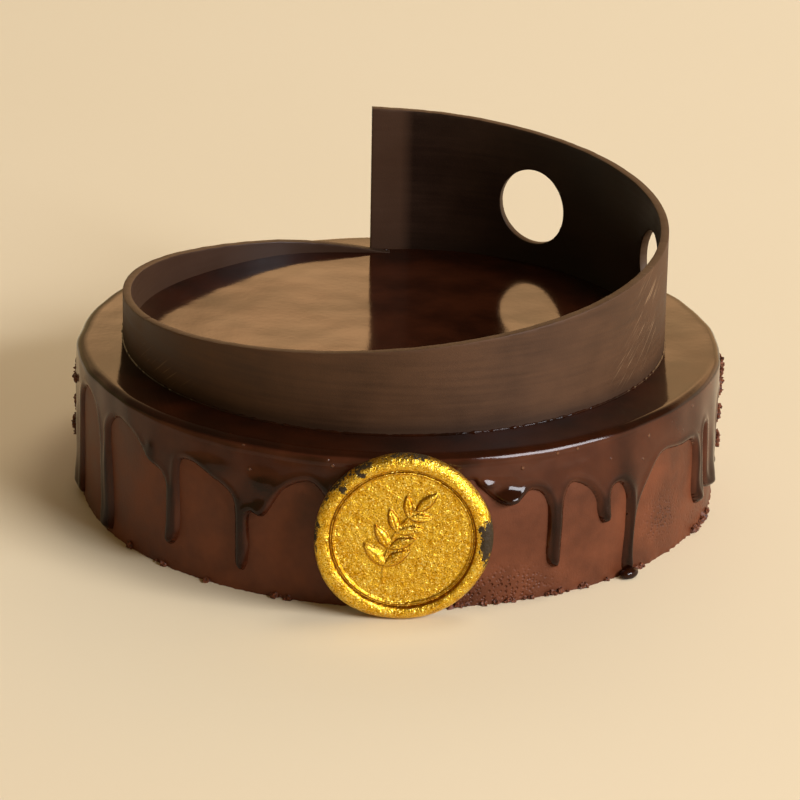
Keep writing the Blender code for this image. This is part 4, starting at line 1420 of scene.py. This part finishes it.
# %% Torn frosting
def make_torn_frosting():
    """Frosting torn open: rougher than the smoothed side, and mottled darker and paler at random."""
    material, place = new_material("torn_chocolate_frosting")
    grain = add_node(material, "ShaderNodeTexNoise", inputs={
        "Vector": place, "Scale": cells(0.6), "Detail": 3.0}).outputs["Fac"]
    share = add_node(material, "ShaderNodeMapRange", inputs={
        "Value": grain, "From Min": 0.35, "From Max": 0.7}).outputs[0]
    tone = add_node(material, "ShaderNodeMix", {"data_type": "RGBA"}, {
        0: share, 6: colour("#33170a"), 7: colour("#783c1b")}).outputs[2]
    crumb = add_node(material, "ShaderNodeBsdfPrincipled", inputs={
        "Base Color": tone, "Roughness": 0.6, "IOR": 1.46})
    add_node(material, "ShaderNodeOutputMaterial", inputs={"Surface": crumb.outputs[0]})
    return material


torn_frosting = make_torn_frosting()
print(f"{torn_frosting.name}: {len(torn_frosting.node_tree.nodes)} nodes")

# %% Crumbs
CRUMB_SEED = 23
FOOT_CLUMPS = (                # from and to, in degrees round the foot, and how many clumps
    (-79.0, -48.0, 15),
    (-43.0, -12.0, 12),
    (-116.0, -104.0, 4),
    (-150.0, -116.0, 4),
    (-12.0, 180.0, 22),
)
SIDE_CLUMPS = (                # the same with their lowest and highest place in mm, on both sides
    (168.0, 184.0, 14.0, 42.0, 26),
    (-3.0, 11.0, 10.0, 42.0, 22),
)


def crumb_places(draw):
    """Angle, height, size and how far each crumb sticks out, all in degrees and mm."""
    places = []
    for low, high, count in FOOT_CLUMPS:
        for _ in range(count):
            centre = draw.uniform(low, high)
            for _ in range(draw.randint(1, 5)):
                places.append((draw.gauss(centre, 0.9), draw.uniform(0.1, 0.9),
                               draw.triangular(0.2, 1.3, 0.4), 0.4))
    for low, high, floor, ceiling, count in SIDE_CLUMPS:
        for _ in range(count):
            centre = draw.uniform(low, high), draw.uniform(floor, ceiling)
            for _ in range(draw.randint(3, 9)):
                places.append((draw.gauss(centre[0], 0.8), draw.gauss(centre[1], 1.4),
                               draw.uniform(0.4, 1.4), 1.4))
    return places


def make_crumbs():
    """All crumbs in one mesh, each a ball that noise has made lumpy."""
    draw = random.Random(CRUMB_SEED)
    shape = bmesh.new()
    for degrees, height, size, out in crumb_places(draw):
        angle = math.radians(degrees)
        radius = float(frosting_radius(np.array(angle), np.array(height * MM))) + out * MM
        centre = Vector((radius * math.cos(angle), radius * math.sin(angle), height * MM))
        corners = bmesh.ops.create_icosphere(shape, subdivisions=2, radius=size * MM)["verts"]
        shift = Vector((draw.uniform(-9.0, 9.0), draw.uniform(-9.0, 9.0), draw.uniform(-9.0, 9.0)))
        for vertex in corners:
            facing = vertex.co.normalized()
            rough = (1.0 + 0.9 * noise_field.noise(facing * 1.6 + shift)
                     + 0.5 * noise_field.noise(facing * 4.1 + shift))
            vertex.co = centre + vertex.co * rough
            vertex.co.z = max(vertex.co.z, 0.0)
    mesh = bpy.data.meshes.new("frosting_crumbs")
    shape.to_mesh(mesh)
    shape.free()
    mesh.materials.append(torn_frosting)
    print(f"crumbs: {len(mesh.polygons)} faces")
    return add_piece("frosting_crumbs", mesh, "frosting")


make_crumbs()

# %% [markdown]
# ## The model's size
#
# The box of the finished model is printed in millimetres, with the number of packed solids.

# %% The model's size
low_corner, high_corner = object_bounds()
spans = [f"{(high - low) / MM:.1f}" for low, high in zip(low_corner, high_corner)]
print(f"the finished model is {' x '.join(spans)} mm, for {len(frame['nodes'])} packed solids")
